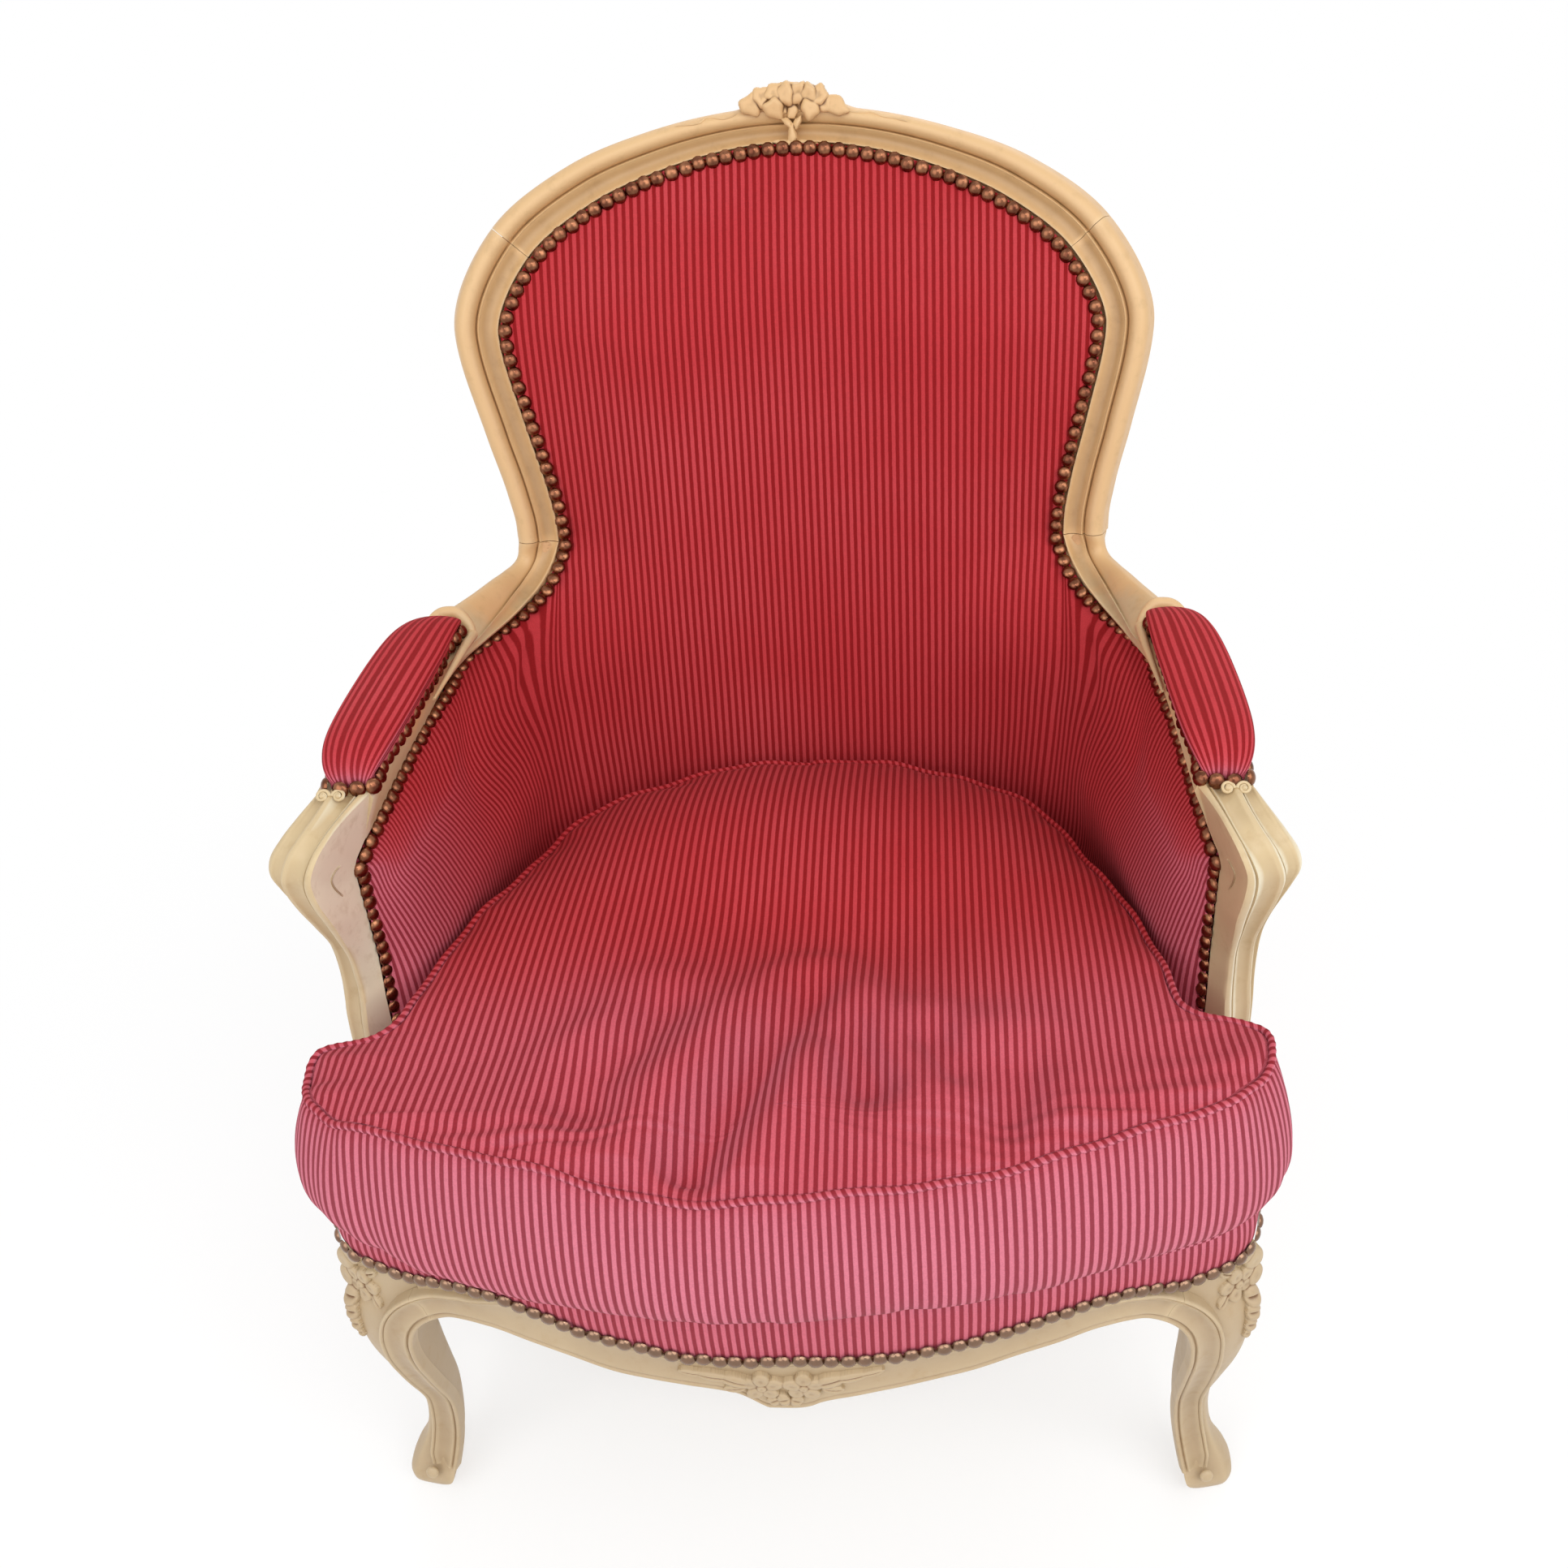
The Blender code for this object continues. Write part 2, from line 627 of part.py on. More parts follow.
def build_front_rail(finish):
    end = LEG_IN_X - GAP
    rings = []
    for x in np.linspace(-end, end, 25):
        face = front_face_y(x)
        low = FRONT_LOW.at(abs(x))
        lip = NAIL_LINE.at(abs(x)) - 0.006
        behind = face + RAIL_THICKNESS
        ring = [(face + 0.004, low), (face, low + 0.004), (face, lip), (face + FABRIC_REBATE, lip + 0.001),
                (face + FABRIC_REBATE, RAIL_TOP_Z), (behind, RAIL_TOP_Z), (behind, low + 0.002)]
        rings.append([(x, y, z) for y, z in ring])
    return add_piece("front_rail", loft(rings), finish)


def side_rail_curve():
    back_end = post_face_y(SIDE_RAIL_BOTTOM_Z) - GAP
    xs = [0.309, 0.303, 0.285, 0.252, post_x(RAIL_TOP_Z)]
    return Curve(xs, [LEG_BACK_Y + GAP, -0.10, 0.0, 0.09, back_end])


SIDE_RAIL = side_rail_curve()


def build_side_rail(side, finish):
    start, end = SIDE_RAIL.knots[0], SIDE_RAIL.knots[-1]
    rings = []
    for y in np.linspace(start, end, 15):
        middle = SIDE_RAIL.at(y)
        share = (y - start) / (end - start)
        low = SIDE_RAIL_BOTTOM_Z + 0.012 * (2 * share - 1) ** 2
        lip = RAIL_TOP_Z - 0.016
        outer = middle + RAIL_THICKNESS / 2
        inner = middle - RAIL_THICKNESS / 2
        step = outer - FABRIC_REBATE
        ring = [(inner, low), (outer - 0.004, low), (outer, low + 0.004), (outer, lip), (step, lip + 0.001),
                (step, side_rail_top()), (inner, side_rail_top())]
        rings.append(flip([(x, y, z) for x, z in ring], side))
    return add_piece(side_name(side) + "_side_rail", loft(rings), finish)


def cross_rail(name, low_z, high_z, set_back, thickness, finish):
    """A rail between the posts that follows the hollow of the back."""
    end = post_x(low_z) - POST_WIDTH / 2 - GAP
    rings = []
    for x in np.linspace(-end, end, 15):
        ring = []
        for z, depth in ((low_z, 0.0), (high_z, 0.0), (high_z, thickness), (low_z, thickness)):
            ring.append((x, back_y(x, z) + set_back + depth, z))
        rings.append(ring)
    return add_piece(name, loft(rings), finish)


def leg_tables():
    """Sides of the front leg by height: inner, outer, front and back."""
    heights = [0.0, 0.012, 0.030, 0.055, 0.085, 0.120, 0.160, 0.200, 0.240, 0.270, 0.300, RAIL_TOP_Z]
    foot, ankle = FOOT_SIZE / 2, ANKLE_SIZE / 2
    middles_x = [FOOT_X, FOOT_X, FOOT_X - 0.006, FOOT_X - 0.014, FOOT_X - 0.020, FOOT_X - 0.0235]
    middles_y = [FOOT_Y, FOOT_Y + 0.001, FOOT_Y + 0.0085, FOOT_Y + 0.012, FOOT_Y + 0.013, FOOT_Y + 0.013]
    halves = [0.9 * foot, foot, 0.86 * foot, 1.02 * ankle, ankle, 1.1 * ankle]
    inner = [x - h for x, h in zip(middles_x, halves)] + [0.2925, 0.2905, 0.286, 0.279, LEG_IN_X, LEG_IN_X]
    outer = [x + h for x, h in zip(middles_x, halves)] + [0.335, 0.341, 0.342, 0.341, 0.338, 0.333]
    front = [y - h for y, h in zip(middles_y, halves)] + [-0.292, -0.303, -0.311, -0.312, -0.307, -0.299]
    back = [y + h for y, h in zip(middles_y, halves)] + [-0.250, -0.248, -0.240, -0.231, LEG_BACK_Y, LEG_BACK_Y]
    return heights, [Curve(row, heights) for row in (inner, outer, front, back)]


LEG_HEIGHTS, LEG_SIDES = leg_tables()


def leg_ring(z):
    inner, outer, front, back = (side.at(z) for side in LEG_SIDES)
    cut = 0.22 * (outer - inner) * (1 - 0.75 * ease((z - 0.24) / 0.06))
    return [(inner, back - cut * 0.4, z), (inner, front + cut * 0.6, z), (inner + cut * 0.6, front, z),
            (outer - cut * 1.2, front, z), (outer - cut * 0.35, front + cut * 0.35, z),
            (outer, front + cut * 1.2, z), (outer, back - cut * 0.6, z), (outer - cut * 0.6, back, z),
            (inner + cut * 0.4, back, z)]


def build_front_leg(side, finish):
    heights = LEG_HEIGHTS[:-1] + [0.32, RAIL_TOP_Z]
    rings = [flip(leg_ring(z), side) for z in heights]
    return add_piece(side_name(side) + "_front_leg", loft(rings), finish)


# Corner blocks

def build_front_block(side, finish):
    xs = np.linspace(0.205, 0.250, 4)
    plan = [(x, front_face_y(x) + RAIL_THICKNESS + GAP) for x in xs]
    ys = np.linspace(-0.190, -0.150, 3)
    plan += [(SIDE_RAIL.at(y) - RAIL_THICKNESS / 2 - GAP, y) for y in ys]
    return build_block(side_name(side) + "_front_corner_block", plan, side, finish)


def build_back_block(side, finish):
    set_back = back_rail_set_back()
    inner_x = post_x(RAIL_TOP_Z) - POST_WIDTH / 2
    ys = np.linspace(SIDE_RAIL.knots[-1] - 0.075, SIDE_RAIL.knots[-1] - 0.035, 3)
    plan = [(SIDE_RAIL.at(y) - RAIL_THICKNESS / 2 - CLOTH_GAP, y) for y in ys]
    xs = np.linspace(inner_x - 0.012, inner_x - 0.055, 4)
    plan += [(x, back_y(x, BACK_RAIL_BOTTOM_Z) + set_back - CLOTH_GAP) for x in xs]
    return build_block(side_name(side) + "_back_corner_block", plan, side, finish)


def build_block(name, plan, side, finish):
    plan = [(side * x, y) for x, y in plan]
    return add_piece(name, prism(plan, RAIL_TOP_Z - 0.004 - BLOCK_HEIGHT, RAIL_TOP_Z - 0.004), finish)


def back_rail_set_back():
    return POST_FACE + (POST_DEPTH - BACK_RAIL_THICKNESS) / 2


# Webbing, hessian, stuffing and seat cover

STRAP_XS = (-0.138, -0.046, 0.046, 0.138)
STRAP_YS = (-0.150, -0.075, 0.0, 0.075)


def build_long_strap(index, x, finish):
    low = RAIL_TOP_Z + GAP
    half = STRAP_WIDTH / 2
    reach = abs(x) + half
    front = front_face_y(reach) + FABRIC_REBATE + 0.004
    back = back_y(reach, RAIL_TOP_Z) + back_rail_set_back() + BACK_RAIL_THICKNESS - 0.003
    plan = [(x - half, front), (x + half, front), (x + half, back), (x - half, back)]
    return add_piece(f"long_strap_{index}", prism(plan, low, low + STRAP_THICKNESS), finish)


def build_cross_strap(index, y, finish):
    low = side_rail_top() + GAP
    half = STRAP_WIDTH / 2
    plan = []
    for side, step in ((1, -half), (1, half), (-1, half), (-1, -half)):
        plan.append((side * (SIDE_RAIL.at(y + step) + RAIL_THICKNESS / 2 - FABRIC_REBATE - 0.012), y + step))
    return add_piece(f"cross_strap_{index}", prism(plan, low, low + STRAP_THICKNESS), finish)


def deck_half():
    """Right half of the deck, from the middle of the back to the middle of the front."""
    tuck = COVER_THICKNESS + 0.003
    rear = [(x, back_y(x, RAIL_TOP_Z) - tuck) for x in (0.0, 0.05, 0.10, 0.15, 0.19)]
    rear += [(SIDE_RAIL.at(y) - tuck, y) for y in (0.105, 0.07, 0.03, -0.01, -0.05, -0.10, -0.145)]
    rear += [(SUPPORT_FOOT_X - SUPPORT_WIDTH / 2 - tuck, -0.170)]
    ear = [(0.2835, -0.2195), (0.300, -0.2215), (0.326, -0.2235), (0.331, -0.232), (0.331, -0.264),
           (0.322, -0.280)]
    xs = [0.298, LEG_IN_X - 0.001, LEG_IN_X - 0.004] + list(np.linspace(0.250, 0.0, 9))
    front = [(x, front_face_y(x) + FABRIC_REBATE - GAP) for x in xs]
    return rear + ear + front


def whole_outline(half):
    return half + [(-x, y) for x, y in reversed(half[1:-1])]


def shrink(outline, distance):
    """Outline moved inwards by a distance, with its corners kept square to both their sides."""
    count = len(outline)
    moved = []
    for i in range(count):
        here = Vector(outline[i])
        before = (here - Vector(outline[i - 1])).normalized()
        after = (Vector(outline[(i + 1) % count]) - here).normalized()
        along = (before + after).normalized()
        reach = distance / max(along.dot(before), 0.7)
        moved.append((here.x + along.y * reach, here.y - along.x * reach))
    return moved


def inner_deck():
    return shrink(whole_outline(deck_half()), GAP)


def build_hessian(finish):
    low = side_rail_top() + 2 * GAP + STRAP_THICKNESS
    return add_piece("seat_hessian", prism(inner_deck(), low, low + HESSIAN_THICKNESS), finish)


def build_stuffing(finish):
    low = side_rail_top() + 3 * GAP + STRAP_THICKNESS + HESSIAN_THICKNESS
    return add_piece("seat_stuffing", prism(inner_deck(), low, DECK_TOP_Z - COVER_THICKNESS - GAP), finish)


def build_seat_cover(finish):
    """Cover of the deck, with the border that hangs in front of the rail and is nailed to it."""
    wall = whole_outline(deck_half())
    outside = shrink(wall, -COVER_THICKNESS)
    hem = []
    for x, y in wall:
        if y > LEG_BACK_Y:
            hem.append(side_rail_top() + 2 * GAP + STRAP_THICKNESS)
        else:
            hem.append(NAIL_LINE.at(min(abs(x), LEG_IN_X)) - HEM_DROP)
    edge = COVER_THICKNESS
    middle = spread(wall, (0.0, EAR_Y), 0.6)
    under = DECK_TOP_Z - COVER_THICKNESS

    def ring(outline, heights):
        return [(x, y, z) for (x, y), z in zip(outline, heights)]

    def level(z):
        return [z] * len(wall)

    rings = [ring(middle, level(under)), ring(wall, level(under)), ring(wall, hem), ring(outside, hem),
             ring(outside, level(DECK_TOP_Z - 2 * edge)),
             ring(shrink(outside, edge), level(DECK_TOP_Z - 0.3 * edge)),
             ring(shrink(outside, 3 * edge), level(DECK_TOP_Z)), ring(middle, level(DECK_TOP_Z))]
    return add_piece("seat_cover", loft(rings), finish)


# Padding and covers of the back and the sides

def corner_line(v):
    """Corner of inside back and inside arm, from the seat (0) to the waist (1), on the back surface."""
    x = CORNER_LOW_X + (CORNER_HIGH_X - CORNER_LOW_X) * v ** 1.4
    z = INSIDE_LOW_Z + (CORNER_HIGH_Z - INSIDE_LOW_Z) * v
    return x, z


def inside_back_half():
    """Right half of the inside back, from the top down to the seat, as x and z."""
    half = []
    for s in top_stations() + post_stations():
        point, _, inwards, _ = outline_frame(s)
        edge = point + inwards * (mould_width(s) + CLOTH_GAP)
        half.append((edge.x, edge.z))
    half += [corner_line(v) for v in np.linspace(0.96, 0.0, 9)]
    half += [(x, INSIDE_LOW_Z) for x in (0.12, 0.06, 0.0)]
    return half


def spread(outline, centre, share):
    return [(centre[0] + (x - centre[0]) * share, centre[1] + (z - centre[1]) * share) for x, z in outline]


def build_inside_back(finish, arms):
    outline = whole_outline(inside_back_half())
    centre = (0.0, WAIST_Z)
    rings = []
    for share in (0.25, 0.6, 0.88, 1.0):
        rings.append([on_back(x, z, CLOTH_GAP - REBATE_DEPTH) for x, z in spread(outline, centre, share)])
    for share, rise in ((1.0, 0.0), (0.95, 0.3), (0.86, 0.6), (0.7, 0.84), (0.45, 0.97), (0.2, 1.0)):
        ring = []
        for x, z in spread(outline, centre, share):
            foot = max(INSIDE_BACK_FOOT - rise, 0.0) * ease((0.53 - z) / 0.12)
            height = PAD_EDGE + (INSIDE_BACK_CROWN - PAD_EDGE) * (rise + foot)
            ring.append(on_back(x, z, height))
        rings.append(ring)
    piece = add_piece("inside_back_pad", loft(rings), finish)
    for cutter in arms:
        combine(piece, cutter, 'DIFFERENCE')
    return piece


def coons(bottom, top, start, end, rows, columns):
    """Grid of points on the smooth patch between four edges."""
    b = [np.array(p, float) for p in bottom.even(columns)]
    t = [np.array(p, float) for p in top.even(columns)]
    s = [np.array(p, float) for p in start.even(rows)]
    e = [np.array(p, float) for p in end.even(rows)]
    grid = []
    for i in range(rows):
        v = i / (rows - 1)
        row = []
        for j in range(columns):
            u = j / (columns - 1)
            blend = (1 - v) * b[j] + v * t[j] + (1 - u) * s[i] + u * e[i]
            corners = (1 - u) * (1 - v) * b[0] + u * (1 - v) * b[-1] + (1 - u) * v * t[0] + u * v * t[-1]
            row.append(Vector(blend - corners))
        grid.append(row)
    return grid


def grid_normals(grid, towards):
    rows, columns = len(grid), len(grid[0])
    normals = []
    for i in range(rows):
        row = []
        for j in range(columns):
            across = grid[i][min(j + 1, columns - 1)] - grid[i][max(j - 1, 0)]
            upward = grid[min(i + 1, rows - 1)][j] - grid[max(i - 1, 0)][j]
            normal = across.cross(upward).normalized()
            row.append(normal if normal.dot(towards) > 0 else -normal)
        normals.append(row)
    return normals


def offset_grid(grid, normals, amount):
    rows, columns = len(grid), len(grid[0])
    moved = []
    for i in range(rows):
        v = i / (rows - 1)
        moved.append([grid[i][j] + normals[i][j] * amount(j / (columns - 1), v) for j in range(columns)])
    return moved


def inside_arm_edges():
    """Edges of the inside arm padding, on the side that faces the frame."""
    start = []
    for v in np.linspace(0.0, 1.0, 6):
        x, z = corner_line(v)
        start.append((x + 2 * CLOTH_GAP, back_y(x, z) + 0.002, z))
    top = [start[-1]]
    for t in np.linspace(0.22, 0.97, 9):
        inner = arm_ring(t)[9]
        out = Vector(ARM_OUT.at(t)).normalized()
        top.append(inner - out * CLOTH_GAP)
    front = [top[-1]]
    for t in np.linspace(0.16, 1.0, 9):
        rear = support_ring(t)[1]
        front.append(rear + Vector((-CLOTH_GAP, 0.002, 0.0)))
    front[-1].z = INSIDE_LOW_Z
    foot = [start[0]]
    for y in (0.09, 0.03, -0.04, -0.11):
        foot.append((SIDE_RAIL.at(y) - 0.004, y, INSIDE_LOW_Z))
    foot.append(front[-1])
    return Curve(foot), Curve(top), Curve(start), Curve(list(reversed(front)))


def build_inside_arm(side, finish, cutters):
    grid = coons(*inside_arm_edges(), rows=9, columns=13)
    normals = grid_normals(grid, Vector((-1.0, -0.3, 0.0)))
    forward = Vector((0.0, -1.0, 0.0))
    for row in normals:
        for j, normal in enumerate(row):
            row[j] = forward.lerp(normal, ease(4 * j / (len(row) - 1))).normalized()

    def padding(u, v):
        foot = INSIDE_ARM_FOOT * (1 - v) ** 1.3
        bulge = 0.012 * math.sin(math.pi * v) * math.sin(math.pi * u) ** 0.5
        return PAD_EDGE + (foot * (1 - ease((u - 0.75) / 0.25)) + bulge) * ease(u / 0.15 + 0.3)

    front = offset_grid(grid, normals, padding)
    mesh = slab([flip(row, side) for row in front], [flip(row, side) for row in grid])
    piece = add_piece(side_name(side) + "_inside_arm_pad", mesh, finish)
    for cutter in cutters:
        combine(piece, cutter, 'DIFFERENCE')
    return piece


def outside_arm_edges():
    """Edges of the outside arm cover, on the side that faces the frame."""
    outer_x = post_x(0.5) + POST_WIDTH / 2
    start = []
    for z in np.linspace(RAIL_TOP_Z - 0.012, 0.585, 5):
        start.append((outer_x + CLOTH_GAP + 0.011 * ease((z - 0.44) / 0.1), post_face_y(z) + 0.012, z))
    top = [start[-1]]
    for t in np.linspace(0.35, 0.98, 8):
        low = arm_ring(t)[0]
        top.append(low + Vector((0.002, 0.0, -CLOTH_GAP)))
    front = [top[-1]]
    for t in np.linspace(0.42, 0.985, 7):
        rear = support_ring(t)[10]
        front.append(rear + Vector((0.0, CLOTH_GAP, 0.0)))
    front[-1].z = RAIL_TOP_Z - 0.012
    foot = [start[0]]
    for y in (0.09, 0.03, -0.04, -0.11):
        foot.append((SIDE_RAIL.at(y) + RAIL_THICKNESS / 2 - FABRIC_REBATE + CLOTH_GAP, y, RAIL_TOP_Z - 0.012))
    foot.append(front[-1])
    return Curve(foot), Curve(top), Curve(start), Curve(list(reversed(front)))


def build_outside_arm(side, finish):
    grid = coons(*outside_arm_edges(), rows=7, columns=13)
    normals = grid_normals(grid, Vector((1.0, 0.0, 0.0)))
    front = offset_grid(grid, normals, lambda u, v: OUTSIDE_THICKNESS)
    mesh = slab([flip(row, side) for row in front], [flip(row, side) for row in grid])
    return add_piece(side_name(side) + "_outside_arm_cover", mesh, finish)


def outside_depth(z):
    """Depth of the outside back behind the back surface: it covers the thicker posts below the waist."""
    deep = POST_FACE + POST_DEPTH + 0.006
    flat_section = (MOULD_WIDTH_SIDE + REBATE_WIDTH) ** 2 / (2 * BACK_PLAN_RADIUS)
    shallow = FRAME_DEPTH + flat_section
    return deep + (shallow - deep) * ease((z - WAIST_Z - 0.02) / 0.14) + CLOTH_GAP


def build_outside_back(finish):
    half = []
    for s in np.linspace(0.0, WAIST_S, 19):
        point, _, inwards, _ = outline_frame(s)
        edge = point + inwards * 0.012
        half.append((edge.x, edge.z))
    outer_x = post_x(0.5) + POST_WIDTH / 2 - 0.003
    half += [(outer_x, z) for z in np.linspace(0.62, BACK_RAIL_BOTTOM_Z + 0.012, 7)]
    half += [(x, BACK_RAIL_BOTTOM_Z + 0.012) for x in (0.15, 0.075, 0.0)]
    outline = whole_outline(half)
    rings = []
    shares = (0.3, 0.6, 0.8, 0.92, 1.0)
    for share, lift in [(a, 0.0) for a in shares] + [(a, 1.0) for a in reversed(shares)]:
        ring = []
        for x, z in spread(outline, (0.0, WAIST_Z), share):
            ring.append(on_back(x, z, -outside_depth(z) - lift * OUTSIDE_THICKNESS))
        rings.append(ring)
    return add_piece("outside_back_cover", loft(rings), finish)


# Cushion

def cushion_half():
    """Right half of the cushion seams, from the middle of the back to the middle of the front."""
    rear = Curve([(0.0, CUSHION_BACK_Y), (0.08, CUSHION_BACK_Y - 0.006), (0.135, CUSHION_BACK_Y - 0.028),
                  (0.204, 0.058), (0.240, -0.030), (0.260, -0.090), (0.274, -0.165)]).even(11)
    ear = [(0.2775, -0.2075), (0.286, -0.2175), (0.318, -0.2195), (0.332, -0.2235), (0.338, -0.238),
           (0.336, -0.262), (0.326, -0.281)]
    front = [(x, front_face_y(x) - CUSHION_OVERHANG) for x in np.linspace(0.300, 0.0, 11)]
    return [tuple(p) for p in rear] + ear + front


def cushion_levels():
    low = DECK_TOP_Z + GAP
    return low, low + CUSHION_HEIGHT


def build_cushion(finish):
    """Crowned T-cushion: the sides swell between the seams, and the seams are drawn in."""
    outline = whole_outline(cushion_half())
    low, high = cushion_levels()
    seam = SEAM_INSET

    def ring(inset, z):
        return [(x, y, z) for x, y in shrink(outline, inset)]

    def disc(share, z):
        centre = (CUSHION_LIFT_X, CUSHION_LIFT_Y + (EAR_Y - CUSHION_LIFT_Y) * share)
        return [(x, y, z) for x, y in spread(shrink(outline, seam), centre, share)]

    rings = [disc(0.3, low), disc(0.9, low), ring(seam, low + seam)]
    for share in (0.2, 0.5, 0.8):
        swell = CUSHION_BULGE * math.sin(math.pi * share)
        rings.append(ring(0.35 * seam - swell, low + seam + (CUSHION_HEIGHT - seam) * share))
    rings.append(ring(seam, high))
    for share, rise in ((0.93, 0.33), (0.8, 0.66), (0.6, 0.88), (0.35, 0.98), (0.15, 1.0)):
        rings.append(disc(share, high + CUSHION_CROWN * rise))
    return add_piece("seat_cushion", loft(rings), finish)


def build_piping(name, z, finish):
    """Closed cord in the seam of the cushion."""
    path = shrink(whole_outline(cushion_half()), SEAM_INSET - PIPING_SEAT * (PIPING_RADIUS + GAP))
    count = len(path)
    rings = []
    for i, (x, y) in enumerate(path):
        along = (Vector(path[(i + 1) % count]) - Vector(path[i - 1])).normalized()
        ring = []
        for k in range(6):
            a = math.pi * k / 3
            out = PIPING_RADIUS * math.cos(a)
            ring.append((x - along.y * out, y + along.x * out, z + PIPING_RADIUS * math.sin(a)))
        rings.append(ring)
    return add_piece(name, loft(rings, closed=True), finish)


def build_frame(wood, raw_wood):
    """Every wooden piece with its joints."""
    top = build_top_rail(wood)
    front = build_front_rail(wood)
    back_rail = cross_rail("back_seat_rail", BACK_RAIL_BOTTOM_Z, RAIL_TOP_Z, back_rail_set_back(),
                           BACK_RAIL_THICKNESS, wood)
    lower_rail = cross_rail("lower_back_rail", LOWER_RAIL_LOW_Z, LOWER_RAIL_HIGH_Z, POST_FACE,
                            LOWER_RAIL_THICKNESS, raw_wood)
    half_tenon = TENON_THICKNESS / 2
    for side in (-1, 1):
        post = build_post(side, wood)
        arm = build_arm(side, wood)
        support = build_arm_support(side, wood)
        leg = build_front_leg(side, wood)
        rail = build_side_rail(side, wood)
        build_front_block(side, raw_wood)
        build_back_block(side, raw_wood)
        name = side_name(side)

        y = front_face_y(LEG_IN_X) + 0.6 * RAIL_THICKNESS
        tenon(front, leg, side, (LEG_IN_X - 0.015, y - half_tenon, FRONT_ARCH_Z + 0.006),
              (LEG_IN_X + TENON_LENGTH, y + half_tenon, RAIL_TOP_Z - 0.007))
        x = SIDE_RAIL.points[0][0]
        tenon(rail, leg, side, (x - half_tenon, LEG_BACK_Y - TENON_LENGTH, SIDE_RAIL_BOTTOM_Z + 0.018),
              (x + half_tenon, LEG_BACK_Y + 0.012, RAIL_TOP_Z - 0.007))
        x = post_x(RAIL_TOP_Z)
        y = SIDE_RAIL.knots[-1]
        tenon(rail, post, side, (x - half_tenon, y - 0.012, SIDE_RAIL_BOTTOM_Z + 0.020),
              (x + half_tenon, y + 0.55 * TENON_LENGTH, RAIL_TOP_Z - 0.007))
        x = post_x(RAIL_TOP_Z) - POST_WIDTH / 2
        y = post_face_y(RAIL_TOP_Z) + POST_DEPTH * 0.72
        tenon(back_rail, post, side, (x - 0.012, y - 0.6 * half_tenon, BACK_RAIL_BOTTOM_Z + 0.008),
              (x + 0.4 * TENON_LENGTH, y + 0.6 * half_tenon, RAIL_TOP_Z - 0.007))
        y = post_face_y(LOWER_RAIL_LOW_Z) + 0.5 * LOWER_RAIL_THICKNESS
        tenon(lower_rail, post, side, (x - 0.012, y - 0.6 * half_tenon, LOWER_RAIL_LOW_Z + 0.006),
              (x + 0.6 * TENON_LENGTH, y + 0.6 * half_tenon, LOWER_RAIL_HIGH_Z - 0.006))
        tenon(support, rail, side, (SUPPORT_FOOT_X - half_tenon, SUPPORT_FOOT_Y - half_tenon,
                                    side_rail_top() - TENON_LENGTH),
              (SUPPORT_FOOT_X + half_tenon, SUPPORT_FOOT_Y + half_tenon, side_rail_top() + 0.012))

        point, along, inwards, face = outline_frame(SHOULDER_S)
        centre = point + inwards * 0.5 * (MOULD_WIDTH_SIDE + REBATE_WIDTH) - face * 0.6 * FRAME_DEPTH
        dowel(name + "_top_rail_dowel", top, post, *flip([centre, along], side), raw_wood)
        end = ARM_PATH[-1][0]
        centre = Vector((end.x, ARM_END_Y, end.z))
        dowel(name + "_arm_front_dowel", arm, support, *flip([centre, Vector((0, 1, 0))], side), raw_wood)
        point, along, inwards, face = outline_frame(WAIST_S)
        seat = point + inwards * 0.5 * (MOULD_WIDTH_SIDE + REBATE_WIDTH) + along * 0.012
        seat -= face * (ARM_SEAT + 0.002)
        dowel(name + "_arm_root_dowel", arm, post, *flip([seat, face], side), raw_wood, ROOT_DOWEL_LENGTH)


def build_upholstery(cloth, webbing, hessian, stuffing):
    for index, x in enumerate(STRAP_XS, 1):
        build_long_strap(index, x, webbing)
    for index, y in enumerate(STRAP_YS, 1):
        build_cross_strap(index, y, webbing)
    build_hessian(hessian)
    build_stuffing(stuffing)
    build_seat_cover(cloth)
    arms = {side: build_arm_room(side) for side in (-1, 1)}
    build_inside_back(cloth, arms.values())
    for side in (-1, 1):
        build_inside_arm(side, cloth, (arms[side], build_support_room(side)))
        build_outside_arm(side, cloth)
        build_arm_pad(side, cloth)
    build_outside_back(cloth)


def build_loose_cushion(cloth):
    """Cushion and piping hang on an empty that lies on the line along which the cushion lifts."""
    low, high = cushion_levels()
    lift = bpy.data.objects.new("cushion_lift", None)
    lift.location = (CUSHION_LIFT_X, CUSHION_LIFT_Y, low)
    bpy.context.scene.collection.objects.link(lift)
    pieces = [build_cushion(cloth), build_piping("cushion_top_piping", high, cloth),
              build_piping("cushion_bottom_piping", low + SEAM_INSET, cloth)]
    for piece in pieces:
        piece.parent = lift
        piece.matrix_parent_inverse.translation = -lift.location


def main():
    for old in list(bpy.data.objects):
        bpy.data.objects.remove(old, do_unlink=True)
    wood = material("painted_beech", (0.66, 0.52, 0.31), 0.55)
    raw_wood = material("raw_beech", (0.48, 0.31, 0.17), 0.7)
    cloth = material("striped_cotton", (0.42, 0.03, 0.045), 0.85)
    webbing = material("jute_webbing", (0.30, 0.20, 0.10), 0.9)
    hessian = material("hessian", (0.36, 0.25, 0.13), 0.95)
    stuffing = material("horsehair", (0.05, 0.035, 0.025), 0.95)
    build_frame(wood, raw_wood)
    build_upholstery(cloth, webbing, hessian, stuffing)
    build_loose_cushion(cloth)


main()
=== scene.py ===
import math
import bpy
import numpy as np
from mathutils import Matrix, Vector


